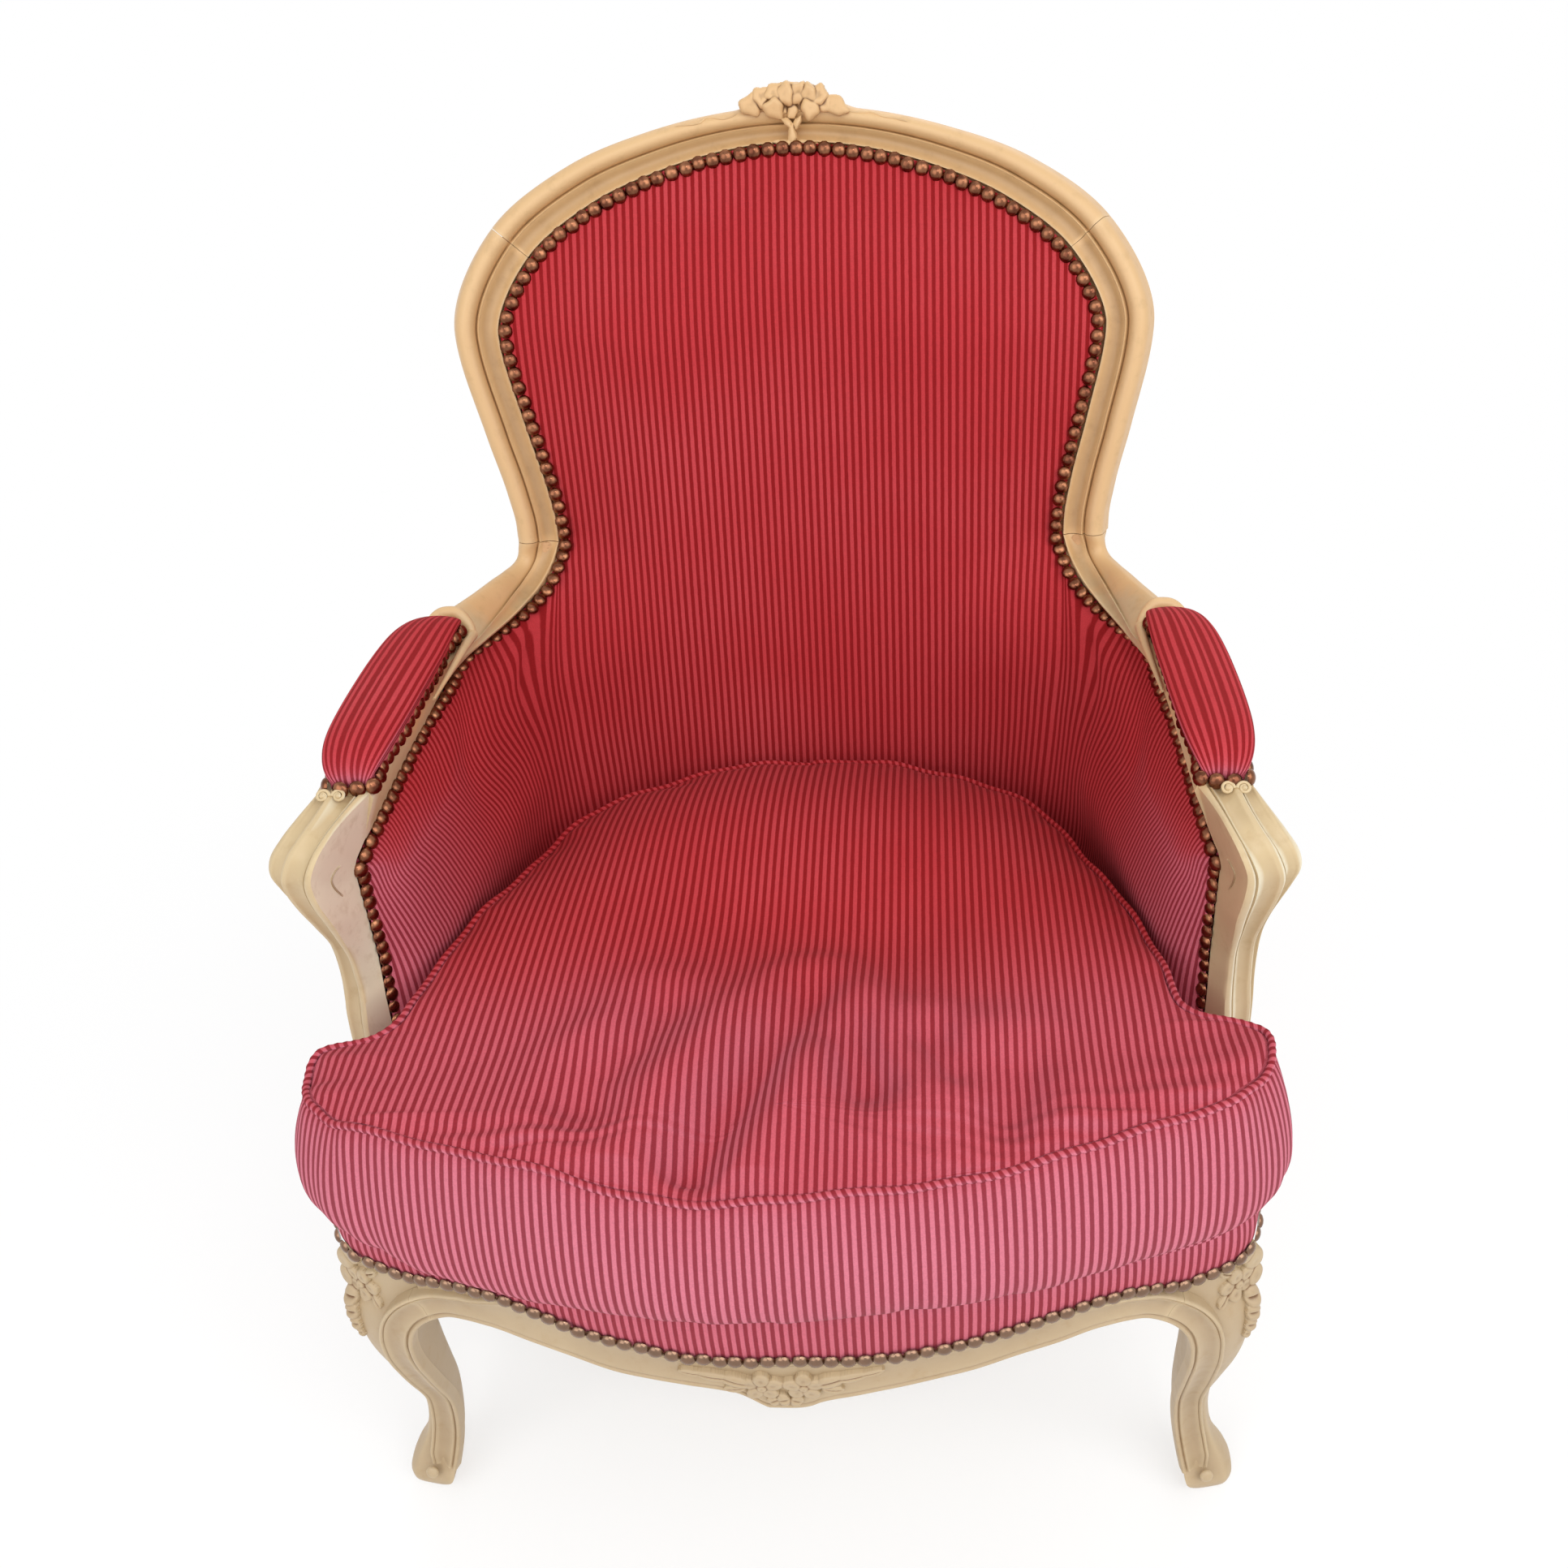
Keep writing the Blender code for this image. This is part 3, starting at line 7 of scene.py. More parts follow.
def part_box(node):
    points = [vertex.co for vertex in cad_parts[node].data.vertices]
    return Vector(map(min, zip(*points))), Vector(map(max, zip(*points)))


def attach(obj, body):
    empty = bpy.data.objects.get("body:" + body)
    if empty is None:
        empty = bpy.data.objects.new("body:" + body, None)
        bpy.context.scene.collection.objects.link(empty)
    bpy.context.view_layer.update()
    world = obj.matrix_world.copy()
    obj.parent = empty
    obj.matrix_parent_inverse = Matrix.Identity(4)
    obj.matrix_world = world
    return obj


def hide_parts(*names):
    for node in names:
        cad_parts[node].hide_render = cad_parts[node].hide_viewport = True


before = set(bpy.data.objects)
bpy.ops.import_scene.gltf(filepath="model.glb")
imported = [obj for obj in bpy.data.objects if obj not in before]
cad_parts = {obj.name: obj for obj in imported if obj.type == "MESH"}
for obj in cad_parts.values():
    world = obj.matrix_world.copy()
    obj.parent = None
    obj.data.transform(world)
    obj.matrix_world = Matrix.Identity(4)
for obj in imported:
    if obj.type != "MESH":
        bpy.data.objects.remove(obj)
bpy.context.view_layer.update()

pi = math.pi


def hexLinear(code):  # sRGB hex to the linear colour Blender wants
    parts = [int(code[i:i + 2], 16) / 255 for i in (1, 3, 5)]
    return tuple(c / 12.92 if c <= .04045 else ((c + .055) / 1.055) ** 2.4 for c in parts) + (1.0,)


def ease(t):
    t = np.clip(t, 0, 1)
    return t * t * (3 - 2 * t)


def unit(vectors):
    vectors = np.asarray(vectors, float)
    return vectors / np.linalg.norm(vectors, axis=-1, keepdims=True)


def lengths(points):  # running length along a line of points
    return np.concatenate(([0], np.cumsum(np.linalg.norm(np.diff(points, axis=0), axis=1))))


def curveThrough(points, knots=None):  # smooth curve through a few points, read at one or many places
    points = np.array(points, float)
    points = points[:, None] if points.ndim == 1 else points
    knots = lengths(points) if knots is None else np.array(knots, float)
    span = np.diff(knots)[:, None]
    rate = np.diff(points, axis=0) / span
    inner = (rate[:-1] * span[1:] + rate[1:] * span[:-1]) / (span[1:] + span[:-1])
    inner = np.where(rate[:-1] * rate[1:] > 0, inner, 0)
    slopes = np.vstack([rate[:1], inner, rate[-1:]])

    def at(places):
        places = np.atleast_1d(np.asarray(places, float))
        i = np.clip(np.searchsorted(knots, places) - 1, 0, len(knots) - 2)
        h = (knots[i + 1] - knots[i])[:, None]
        t = (places - knots[i])[:, None] / h
        rise = t * t * (3 - 2 * t)
        return ((1 - rise) * points[i] + rise * points[i + 1]
                + h * t * (1 - t) ** 2 * slopes[i] - h * t * t * (1 - t) * slopes[i + 1])

    at.knots = knots
    at.end = knots[-1]
    return at


def valueBy(places, values):  # the same for one number, such as a height by its x
    curve = curveThrough(values, places)
    return lambda x: curve(np.ravel(x))[:, 0].reshape(np.shape(x))


def evenly(points, step=None, count=None):  # points spaced evenly along a line, ends kept
    points = np.asarray(points, float)
    run = lengths(points)
    count = count or max(2, int(round(run[-1] / step)) + 1)
    places = np.linspace(0, run[-1], count)
    return np.stack([np.interp(places, run, points[:, k]) for k in range(points.shape[1])], 1)


def mirrored(points):
    return np.asarray(points, float) * (-1, 1, 1)


def bothSides(half):  # closed outline from its right half
    return np.concatenate([half, half[-2:0:-1] * (-1, 1)])


def wrapped(rows):  # repeats the first column, so that a grid closes round
    return np.concatenate([rows, rows[:, :1]], 1)


def patch(bottom, top, left, right):  # surface stretched between four edges
    u, v = np.linspace(0, 1, len(bottom))[None, :, None], np.linspace(0, 1, len(left))[:, None, None]
    return ((1 - v) * bottom[None] + v * top[None] + (1 - u) * left[:, None] + u * right[:, None]
            - (1 - u) * (1 - v) * bottom[0] - u * (1 - v) * bottom[-1] - (1 - u) * v * top[0] - u * v * top[-1])


def normalOf(spots):  # face directions of a grid
    return unit(np.cross(np.gradient(spots, axis=1), np.gradient(spots, axis=0)))


def active(piece):
    bpy.ops.object.select_all(action='DESELECT')
    piece.select_set(True)
    bpy.context.view_layer.objects.active = piece


def gridPiece(name, spots, uv=None, closed=False, capped=False, flip=False):
    spots = np.asarray(spots, float)
    rows, columns = spots.shape[:2]
    bpy.ops.object.select_all(action='DESELECT')
    bpy.ops.mesh.primitive_grid_add(x_subdivisions=columns - 1, y_subdivisions=rows - 1, size=1)
    piece = bpy.context.object
    piece.name = piece.data.name = name
    piece.data.vertices.foreach_set('co', spots.reshape(-1))
    if uv is not None:
        corners = np.zeros(len(piece.data.loops), int)
        piece.data.loops.foreach_get('vertex_index', corners)
        flat = np.asarray(uv, float).reshape(-1, 2)[corners]
        piece.data.uv_layers.active.data.foreach_set('uv', flat.reshape(-1))
    bpy.ops.object.mode_set(mode='EDIT')
    bpy.ops.mesh.select_all(action='SELECT')
    if flip:
        bpy.ops.mesh.flip_normals()
    if closed:
        bpy.ops.mesh.remove_doubles(threshold=.00001)
    if capped:
        bpy.ops.mesh.fill_holes(sides=0)
    if closed:
        bpy.ops.mesh.normals_make_consistent(inside=False)
    bpy.ops.object.mode_set(mode='OBJECT')
    bpy.ops.object.shade_smooth_by_angle(angle=math.radians(48))
    return piece


def sweep(name, middles, across, up, profile):  # a section drawn along a line
    middles, across, up, profile = (np.asarray(a, float) for a in (middles, across, up, profile))
    if profile.ndim == 2:
        profile = np.broadcast_to(profile, (len(middles),) + profile.shape)
    spots = middles[:, None] + across[:, None] * profile[..., :1] + up[:, None] * profile[..., 1:]
    return gridPiece(name, wrapped(spots), closed=True, capped=True)


def frames(path, loop=False, start=(0, 0, 1)):  # two directions square to a line, without twisting
    path = np.asarray(path, float)
    along = unit(np.roll(path, -1, 0) - np.roll(path, 1, 0) if loop else np.gradient(path, axis=0))
    side = np.cross(along[0], start)
    sides = []
    for way in along:
        side = unit(side - way * np.dot(side, way))
        sides.append(side)
    return np.array(sides), np.cross(sides, along)


def tube(name, path, radius, corners=10, start=(0, 0, 1)):
    sides, ups = frames(path, start=start)
    radius = np.broadcast_to(radius, len(path))
    turn = np.arange(corners) * 2 * pi / corners
    ring = np.stack([np.cos(turn), np.sin(turn)], 1)
    return sweep(name, path, sides, ups, radius[:, None, None] * ring)


def joined(name, pieces):
    bpy.ops.object.select_all(action='DESELECT')
    for piece in pieces:
        piece.select_set(True)
    bpy.context.view_layer.objects.active = pieces[0]
    if len(pieces) > 1:
        bpy.ops.object.join()
    pieces[0].name = pieces[0].data.name = name
    return pieces[0]


def copied(piece, name, matrix):
    active(piece)
    bpy.ops.object.duplicate(linked=False)
    twin = bpy.context.object
    twin.name = twin.data.name = name
    twin.data.transform(matrix)
    if matrix.determinant() < 0:
        twin.data.flip_normals()
    return twin


def otherSide(piece, name):  # left-hand twin of a right-hand piece
    return copied(piece, name, Matrix.Diagonal((-1, 1, 1, 1)))


def modified(piece, kind, **settings):
    active(piece)
    modifier = piece.modifiers.new(kind.lower(), kind)
    for setting, value in settings.items():
        setattr(modifier, setting, value)
    bpy.ops.object.modifier_apply(modifier=modifier.name)
    return piece


def placed(piece, spot, right, up, face):  # puts a piece made flat at the origin onto a surface
    matrix = Matrix((right, up, face)).transposed().to_4x4()
    matrix.translation = spot
    piece.data.transform(matrix)
    return piece


def setValues(piece, name, values):  # a number for each vertex, read by the paint
    piece.data.attributes.new(name, 'FLOAT', 'POINT').data.foreach_set('value', values)


def hollows(piece):  # marks where glaze settles and where edges rub bare, from the shape itself
    mesh = piece.data
    spots, normals = (np.zeros(len(mesh.vertices) * 3) for _ in range(2))
    mesh.vertices.foreach_get('co', spots)
    mesh.vertices.foreach_get('normal', normals)
    spots, normals = spots.reshape(-1, 3), normals.reshape(-1, 3)
    edges = np.zeros(len(mesh.edges) * 2, int)
    mesh.edges.foreach_get('vertices', edges)
    a, b = edges.reshape(-1, 2).T
    way = spots[b] - spots[a]
    length = np.maximum((way ** 2).sum(1), 1e-8)
    bend, count = np.zeros(len(spots)), np.zeros(len(spots))
    for one, sign in ((a, 1), (b, -1)):
        np.add.at(bend, one, sign * (normals[one] * way).sum(1) / np.maximum(length, .0016 ** 2))
        np.add.at(count, one, 1)
    bend /= np.maximum(count, 1)
    for _ in range(2):
        total = bend.copy()
        np.add.at(total, a, bend[b])
        np.add.at(total, b, bend[a])
        bend = total / (count + 1)
    carved = np.zeros(len(spots))
    if 'carved' in mesh.attributes:  # foot of the carving, where glaze is never wiped off
        mesh.attributes['carved'].data.foreach_get('value', carved)
    setValues(piece, 'glaze', np.clip(bend / 125 + carved, 0, 1))
    setValues(piece, 'wear', np.clip(-bend / 220, 0, 1))


def finishPiece(piece, material, slot, *nodes, body='frame'):
    piece.data.materials.clear()
    piece.data.materials.append(material)
    if material.name.startswith('painted'):
        hollows(piece)
    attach(piece, body)
    if nodes:
        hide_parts(*nodes)
    return piece


# camera, lamps and floor
photoView = dict(place=(.1014, -.9069, 1.2487), pitch=38.8, yaw=-2.12, roll=-1.82,
                 lens=36 * 1788.4 / 1932, shiftX=-.066, shiftY=.0198)


def setCamera():
    pitch, yaw, roll = (math.radians(photoView[k]) for k in ('pitch', 'yaw', 'roll'))
    ahead = Vector((math.sin(yaw) * math.cos(pitch), math.cos(yaw) * math.cos(pitch), -math.sin(pitch)))
    right = Vector((math.cos(yaw), -math.sin(yaw), 0))
    up = right.cross(ahead)
    x = right * math.cos(roll) + up * math.sin(roll)
    y = up * math.cos(roll) - right * math.sin(roll)
    bpy.ops.object.camera_add()
    camera = bpy.context.object
    camera.name = 'photoCamera'
    camera.matrix_world = Matrix.Translation(photoView['place']) @ Matrix((x, y, -ahead)).transposed().to_4x4()
    camera.data.sensor_width = 36
    camera.data.lens = photoView['lens']
    camera.data.shift_x, camera.data.shift_y = photoView['shiftX'], photoView['shiftY']
    bpy.context.scene.camera = camera


setCamera()

lamps = dict(key=((1.7, -1.6, 2.3), 2.2, 39), fill=((-1.3, -2.0, 2.0), 2.2, 28), back=((.3, 2.0, 2.4), 2.0, 18),
             spark=((.35, -1.6, 2.6), .22, 5))  # the last one only dots the nails
for lampName, (place, size, power) in lamps.items():
    bpy.ops.object.light_add(type='AREA', location=place)
    lamp = bpy.context.object
    lamp.name = lampName + 'Lamp'
    lamp.rotation_euler = (Vector((0, 0, .45)) - Vector(place)).to_track_quat('-Z', 'Y').to_euler()
    lamp.data.size, lamp.data.energy = size, power


def setInputs(material, node, inputs):  # hex codes become colours, sockets are linked, the rest is set
    for socket, value in inputs.items():
        if isinstance(value, bpy.types.NodeSocket):
            material.node_tree.links.new(value, node.inputs[socket])
        else:
            node.inputs[socket].default_value = hexLinear(value) if isinstance(value, str) else value


def addNode(material, kind, inputs={}, **options):
    node = material.node_tree.nodes.new('ShaderNode' + kind)
    for option, value in options.items():
        setattr(node, option, value)
    setInputs(material, node, inputs)
    return node.outputs


def newMaterial(name):
    material = bpy.data.materials.new(name)
    material.use_nodes = True
    return material, material.node_tree.nodes['Principled BSDF']


def seenRays(material):  # 1 for what the camera sees, straight or in a gloss
    ray = addNode(material, 'LightPath')
    seen = ray['Is Camera Ray']
    for kind in ('Is Glossy Ray', 'Is Transmission Ray'):
        seen = addNode(material, 'Math', {0: seen, 1: ray[kind]}, operation='MAXIMUM')[0]
    return seen


def setWorld():
    world = bpy.data.worlds.new('softWorld')
    bpy.context.scene.world = world
    world.use_nodes = True
    level = addNode(world, 'MapRange', {0: seenRays(world), 3: .66, 4: 1.0})[0]
    setInputs(world, world.node_tree.nodes['Background'], {'Color': '#FFFFFF', 'Strength': level})


def setFloor():
    material, surface = newMaterial('whitePaperSweep')  # matt white paper with a painted glow that the camera sees, stronger away from the chair, so the floor fades to white while the shadow by the chair stays
    setInputs(material, surface, {'Base Color': '#FAFAFA', 'Roughness': .9})
    spot = addNode(material, 'TexCoord')['Object']
    away = addNode(material, 'VectorMath', {0: spot}, operation='LENGTH')['Value']
    far = addNode(material, 'MapRange', {0: away, 1: .2, 2: 1.3, 3: .55, 4: 1.0}, interpolation_type='SMOOTHSTEP')[0]
    share = addNode(material, 'Math', {0: far, 1: seenRays(material)}, operation='MULTIPLY')[0]
    glow = addNode(material, 'Emission', {'Color': '#FFFFFF', 'Strength': 1.0})[0]
    mix = addNode(material, 'MixShader', {0: share, 1: surface.outputs[0], 2: glow})[0]
    setInputs(material, material.node_tree.nodes['Material Output'], {'Surface': mix})
    bpy.ops.object.select_all(action='DESELECT')
    bpy.ops.mesh.primitive_plane_add(size=30, location=(0, 0, -.0008))
    floor = bpy.context.object
    floor.name = 'floor'
    bpy.ops.object.transform_apply(location=True)
    floor.data.materials.append(material)


setWorld()
setFloor()
bpy.context.scene.view_settings.view_transform = 'Standard'
print('camera, lamps and floor set')


# materials
# the tones from low to high are painted light, cooler low down and warmer up high; the palest one is painted window
# light on the arm supports
paintTones = dict(low='#B19A7A', seat='#C3AD8A', elbow='#C5AE87', high='#D1AA79', glaze='#6E4A26', bare='#E6D3AA',
                  grime='#A07E50', kept='#EAE4CE')


def paintedBeech():  # beech, gesso and oil paint brushed on, umber glaze wiped off: cream with brown in the hollows
    material, shader = newMaterial('paintedBeech')
    spot = addNode(material, 'TexCoord')['Object']
    clouds = addNode(material, 'TexNoise', {'Vector': spot, 'Scale': 14, 'Detail': 4, 'Roughness': .6})[0]
    strokes = addNode(material, 'Mapping', {'Vector': spot, 'Scale': (1, 1, .25)})[0]
    strokes = addNode(material, 'TexNoise', {'Vector': strokes, 'Scale': 420, 'Detail': 3})[0]  # 2 mm brush marks
    glaze, wear = (addNode(material, 'Attribute', attribute_name=name)['Fac'] for name in ('glaze', 'wear'))
    place = addNode(material, 'SeparateXYZ', {0: spot})  # painted light: greyer near the floor and towards the front, warmer higher up and towards the back, standing for cool light low at the front and warm light up high
    lean = addNode(material, 'Math', {0: place[1], 1: .12}, operation='MULTIPLY')[0]
    height = addNode(material, 'Math', {0: place[2], 1: lean}, operation='ADD')[0]
    patches = addNode(material, 'MapRange', {0: clouds, 1: .3, 2: .7, 3: -.03, 4: .03})[0]
    level = addNode(material, 'Math', {0: height, 1: patches}, operation='ADD')[0]
    layers = []
    for tone, start, stop in (('seat', .26, .38), ('elbow', .42, .52), ('high', .625, .655)):
        layers.append((addNode(material, 'MapRange', {0: level, 1: start, 2: stop})[0], tone))
    turned = addNode(material, 'SeparateXYZ', {0: addNode(material, 'TexCoord')['Normal']})[0]
    kept = addNode(material, 'MapRange', {0: turned, 1: .45, 2: .90, 4: .80})[0]  # painted light: paler where the arm supports face the window light from the right
    for axis, start, stop in ((1, -.11, -.135), (2, .34, .39)):
        part = addNode(material, 'MapRange', {0: place[axis], 1: start, 2: stop})[0]
        kept = addNode(material, 'Math', {0: kept, 1: part}, operation='MULTIPLY')[0]
    uneven = addNode(material, 'TexNoise', {'Vector': spot, 'Scale': 70, 'Detail': 5, 'Roughness': .65})[0]
    layers += [(kept, 'kept'), (addNode(material, 'MapRange', {0: uneven, 1: .54, 2: .78, 4: .34})[0], 'grime')]
    for mark, tone, spread, low, high in ((glaze, 'glaze', uneven, .75, 1.5), (wear, 'bare', clouds, .1, 1.0)):
        share = addNode(material, 'MapRange', {0: spread, 3: low, 4: high})[0]
        layers.append((addNode(material, 'Math', {0: mark, 1: share}, operation='MULTIPLY', use_clamp=True)[0], tone))
    colour = paintTones['low']
    for share, tone in layers:
        colour = addNode(material, 'Mix', {0: share, 6: colour, 7: paintTones[tone]}, data_type='RGBA')[2]
    rough = addNode(material, 'MapRange', {0: uneven, 3: .36, 4: .58})[0]
    lumps = addNode(material, 'Math', {0: strokes, 1: uneven}, operation='ADD')[0]
    bump = addNode(material, 'Bump', {'Height': lumps, 'Strength': .22, 'Distance': .0004})[0]
    setInputs(material, shader, {'Base Color': colour, 'Roughness': rough, 'Normal': bump, 'IOR': 1.5})
    return material


# the two front colours are the stripes with painted front light on them
stripes = dict(pitch=.0062, weft=.0011, dark='#860B11', light='#B43238', faded='#C0484F', frontDark='#8A323F',
               frontLight='#C97081')


def stripedCotton():  # ribbed cotton, two reds woven in narrow stripes: the lighter ribs stand up and catch light
    material, shader = newMaterial('stripedCotton')
    parts = addNode(material, 'SeparateXYZ', {0: addNode(material, 'UVMap', uv_map='UVMap')[0]})
    spot = addNode(material, 'TexCoord')['Object']
    slub = addNode(material, 'TexNoise', {'Vector': spot, 'Scale': 160, 'Detail': 3})[0]
    sway = addNode(material, 'MapRange', {0: slub, 3: -.00028, 4: .00028})[0]  # threads never lie quite straight
    across = addNode(material, 'Math', {0: parts[0], 1: sway}, operation='ADD')[0]
    turns = addNode(material, 'Math', {0: across, 1: 1 / stripes['pitch']}, operation='MULTIPLY')[0]
    fold = addNode(material, 'Math', {0: turns, 1: .5}, operation='PINGPONG')[0]
    rib = addNode(material, 'MapRange', {0: fold, 1: .20, 2: .31, 3: 1.0, 4: 0.0})[0]
    clouds = addNode(material, 'TexNoise', {'Vector': spot, 'Scale': 7, 'Detail': 3})[0]
    fade = addNode(material, 'MapRange', {0: clouds, 1: .42, 2: .75, 4: .55})[0]
    flecks = addNode(material, 'TexNoise', {'Vector': spot, 'Scale': 900, 'Detail': 2})[0]  # single yarns
    place = addNode(material, 'SeparateXYZ', {0: spot})
    drift = addNode(material, 'MapRange', {0: clouds, 3: -.05, 4: .05})[0]
    depth = addNode(material, 'Math', {0: place[1], 1: drift}, operation='ADD')[0]
    near = addNode(material, 'MapRange', {0: depth, 1: .05, 2: -.24}, interpolation_type='SMOOTHSTEP')[0]
    turned = addNode(material, 'SeparateXYZ', {0: addNode(material, 'TexCoord')['Normal']})[2]
    facing = addNode(material, 'MapRange', {0: turned, 1: .92, 2: .25, 3: .42, 4: 1.0})[0]
    steep = addNode(material, 'MapRange', {0: turned, 1: .92, 2: .25, 3: 5.0, 4: 1.0})[0]
    under = addNode(material, 'MapRange', {0: place[2], 1: .355, 2: .380, 3: .74, 4: 1.0})[0]
    frontLit = addNode(material, 'Math', {0: near, 1: steep}, operation='POWER')[0]  # painted front light, pinker on faces standing up toward the front, on tops only close to the front edge
    for share in (facing, under):  # painted shade: less of the painted front light on the border, in the shadow of the cushion
        frontLit = addNode(material, 'Math', {0: frontLit, 1: share}, operation='MULTIPLY')[0]
    light = addNode(material, 'Mix', {0: fade, 6: stripes['light'], 7: stripes['faded']}, data_type='RGBA')[2]
    light = addNode(material, 'Mix', {0: frontLit, 6: light, 7: stripes['frontLight']}, data_type='RGBA')[2]  # painted light: pinker where the front light falls
    dark = addNode(material, 'Mix', {0: frontLit, 6: stripes['dark'], 7: stripes['frontDark']}, data_type='RGBA')[2]
    colour = addNode(material, 'Mix', {0: rib, 6: dark, 7: light}, data_type='RGBA')[2]
    tone = addNode(material, 'MapRange', {0: flecks, 3: .78, 4: 1.22})[0]
    colour = addNode(material, 'Mix', {0: 1.0, 6: colour, 7: tone}, data_type='RGBA', blend_type='MULTIPLY')[2]
    picks = addNode(material, 'Math', {0: parts[1], 1: 1 / stripes['weft']}, operation='MULTIPLY')[0]
    picks = addNode(material, 'Math', {0: picks, 1: .5}, operation='PINGPONG')[0]  # weft drawn at 1.1 mm
    soft = addNode(material, 'Math', {0: picks, 1: .35}, operation='MULTIPLY')[0]
    height = addNode(material, 'Math', {0: rib, 1: soft}, operation='ADD')[0]
    bump = addNode(material, 'Bump', {'Height': height, 'Strength': .45, 'Distance': .0006})[0]
    setInputs(material, shader, {'Base Color': colour, 'Normal': bump, 'Roughness': .88, 'Specular IOR Level': .25,
                                 'Sheen Weight': .05, 'Sheen Roughness': .5, 'Sheen Tint': '#E09090'})
    return material


def agedBronze():  # lacquered brass nails gone brown: dark dome with a small warm highlight
    material, shader = newMaterial('agedBronze')
    spot = addNode(material, 'TexCoord')['Object']
    tarnish = addNode(material, 'TexNoise', {'Vector': spot, 'Scale': 130, 'Detail': 3})[0]
    share = addNode(material, 'MapRange', {0: tarnish, 1: .35, 2: .7})[0]
    colour = addNode(material, 'Mix', {0: share, 6: '#62392A', 7: '#96664A'}, data_type='RGBA')[2]
    depth = addNode(material, 'SeparateXYZ', {0: spot})[1]
    dull = addNode(material, 'MapRange', {0: depth, 1: -.18, 2: -.30, 4: .75})[0]  # greyer towards the front, along the front rail
    colour = addNode(material, 'Mix', {0: dull, 6: colour, 7: '#8A7260'}, data_type='RGBA')[2]
    rough = addNode(material, 'MapRange', {0: tarnish, 3: .20, 4: .34})[0]
    setInputs(material, shader, {'Base Color': colour, 'Roughness': rough, 'Metallic': 1.0})
    return material


def rawBeech():  # planed beech left bare: pink-brown with short flecks along the grain
    material, shader = newMaterial('rawBeech')
    grain = addNode(material, 'Mapping', {'Vector': addNode(material, 'TexCoord')['Object'], 'Scale': (.12, 1, 1)})[0]
    lines = addNode(material, 'TexNoise', {'Vector': grain, 'Scale': 160, 'Detail': 5, 'Distortion': .4})[0]
    flecks = addNode(material, 'TexNoise', {'Vector': grain, 'Scale': 900, 'Detail': 2})[0]
    share = addNode(material, 'MapRange', {0: flecks, 1: .58, 2: .7, 4: .5})[0]
    colour = addNode(material, 'Mix', {0: lines, 6: '#B98A5E', 7: '#D3AC80'}, data_type='RGBA')[2]
    colour = addNode(material, 'Mix', {0: share, 6: colour, 7: '#8E6440'}, data_type='RGBA')[2]
    bump = addNode(material, 'Bump', {'Height': flecks, 'Strength': .25, 'Distance': .0003})[0]
    setInputs(material, shader, {'Base Color': colour, 'Normal': bump, 'Roughness': .68, 'IOR': 1.5})
    return material


def wovenJute(name, pitch, thread, gap):  # plain weave of coarse yarn, each thread over and under the next
    material, shader = newMaterial(name)
    spot = addNode(material, 'TexCoord')['Object']
    parts = addNode(material, 'SeparateXYZ', {0: spot})
    waves = []
    for k in (0, 1):
        turn = addNode(material, 'Math', {0: parts[k], 1: 2 * pi / pitch}, operation='MULTIPLY')[0]
        waves.append(addNode(material, 'Math', {0: turn}, operation='SINE')[0])
    check = addNode(material, 'Math', {0: waves[0], 1: waves[1]}, operation='MULTIPLY')[0]
    share = addNode(material, 'MapRange', {0: check, 1: -1, 2: 1})[0]
    hairs = addNode(material, 'TexNoise', {'Vector': spot, 'Scale': 700, 'Detail': 3})[0]
    loose = addNode(material, 'MapRange', {0: hairs, 1: .5, 2: .8, 4: .6})[0]
    colour = addNode(material, 'Mix', {0: share, 6: gap, 7: thread}, data_type='RGBA')[2]
    colour = addNode(material, 'Mix', {0: loose, 6: colour, 7: '#6E5432'}, data_type='RGBA')[2]
    bump = addNode(material, 'Bump', {'Height': share, 'Strength': .7, 'Distance': .0006})[0]
    setInputs(material, shader, {'Base Color': colour, 'Normal': bump, 'Roughness': .9})
    return material


paint, cloth, bronze, beech = paintedBeech(), stripedCotton(), agedBronze(), rawBeech()
jute = wovenJute('juteWebbing', .0036, '#B89A6A', '#8F7348')
hessian = wovenJute('hessian', .0024, '#B79C70', '#7D663F')  # 1.2 mm yarns
print('materials made')


# the line of the back: raked above the seat and bent round the sitter
backShape = dict(seatY=.1726, rake=.28, bendZ=.38, softness=.02, planRadius=.78)
moulding = dict(top=.027, side=.034, rebate=.014, rebateDepth=.008, depth=.032, crestRise=.0075, crestHalf=.050,
                crestLift=.0010)
outlineSpots = [(-.117, .955), (0, .969), (.117, .955), (.181, .935), (.242, .896), (.2785, .822), (.2648, .741),
                (.2540, .6924), (.2499, .662), (.2504, .648), (.2560, .632)]
outline = curveThrough(outlineSpots)
topKnot = outline.knots[1]
shoulderS, waistS = outline.knots[4] - topKnot, outline.knots[-2] - topKnot - .006


def backLine(z):
    return backShape['seatY'] + backShape['rake'] * backShape['softness'] * np.log1p(
        np.exp((np.asarray(z, float) - backShape['bendZ']) / backShape['softness']))


def onBack(x, z, height):
    x, z, height = np.broadcast_arrays(*(np.asarray(a, float) for a in (x, z, height)))
    slope = backShape['rake'] / (1 + np.exp(-(z - backShape['bendZ']) / backShape['softness']))
    normal = unit(np.stack([-x / backShape['planRadius'], -np.ones_like(x), slope], -1))
    y = backLine(z) - x * x / (2 * backShape['planRadius'])
    return np.stack([x, y, z], -1) + normal * height[..., None], normal


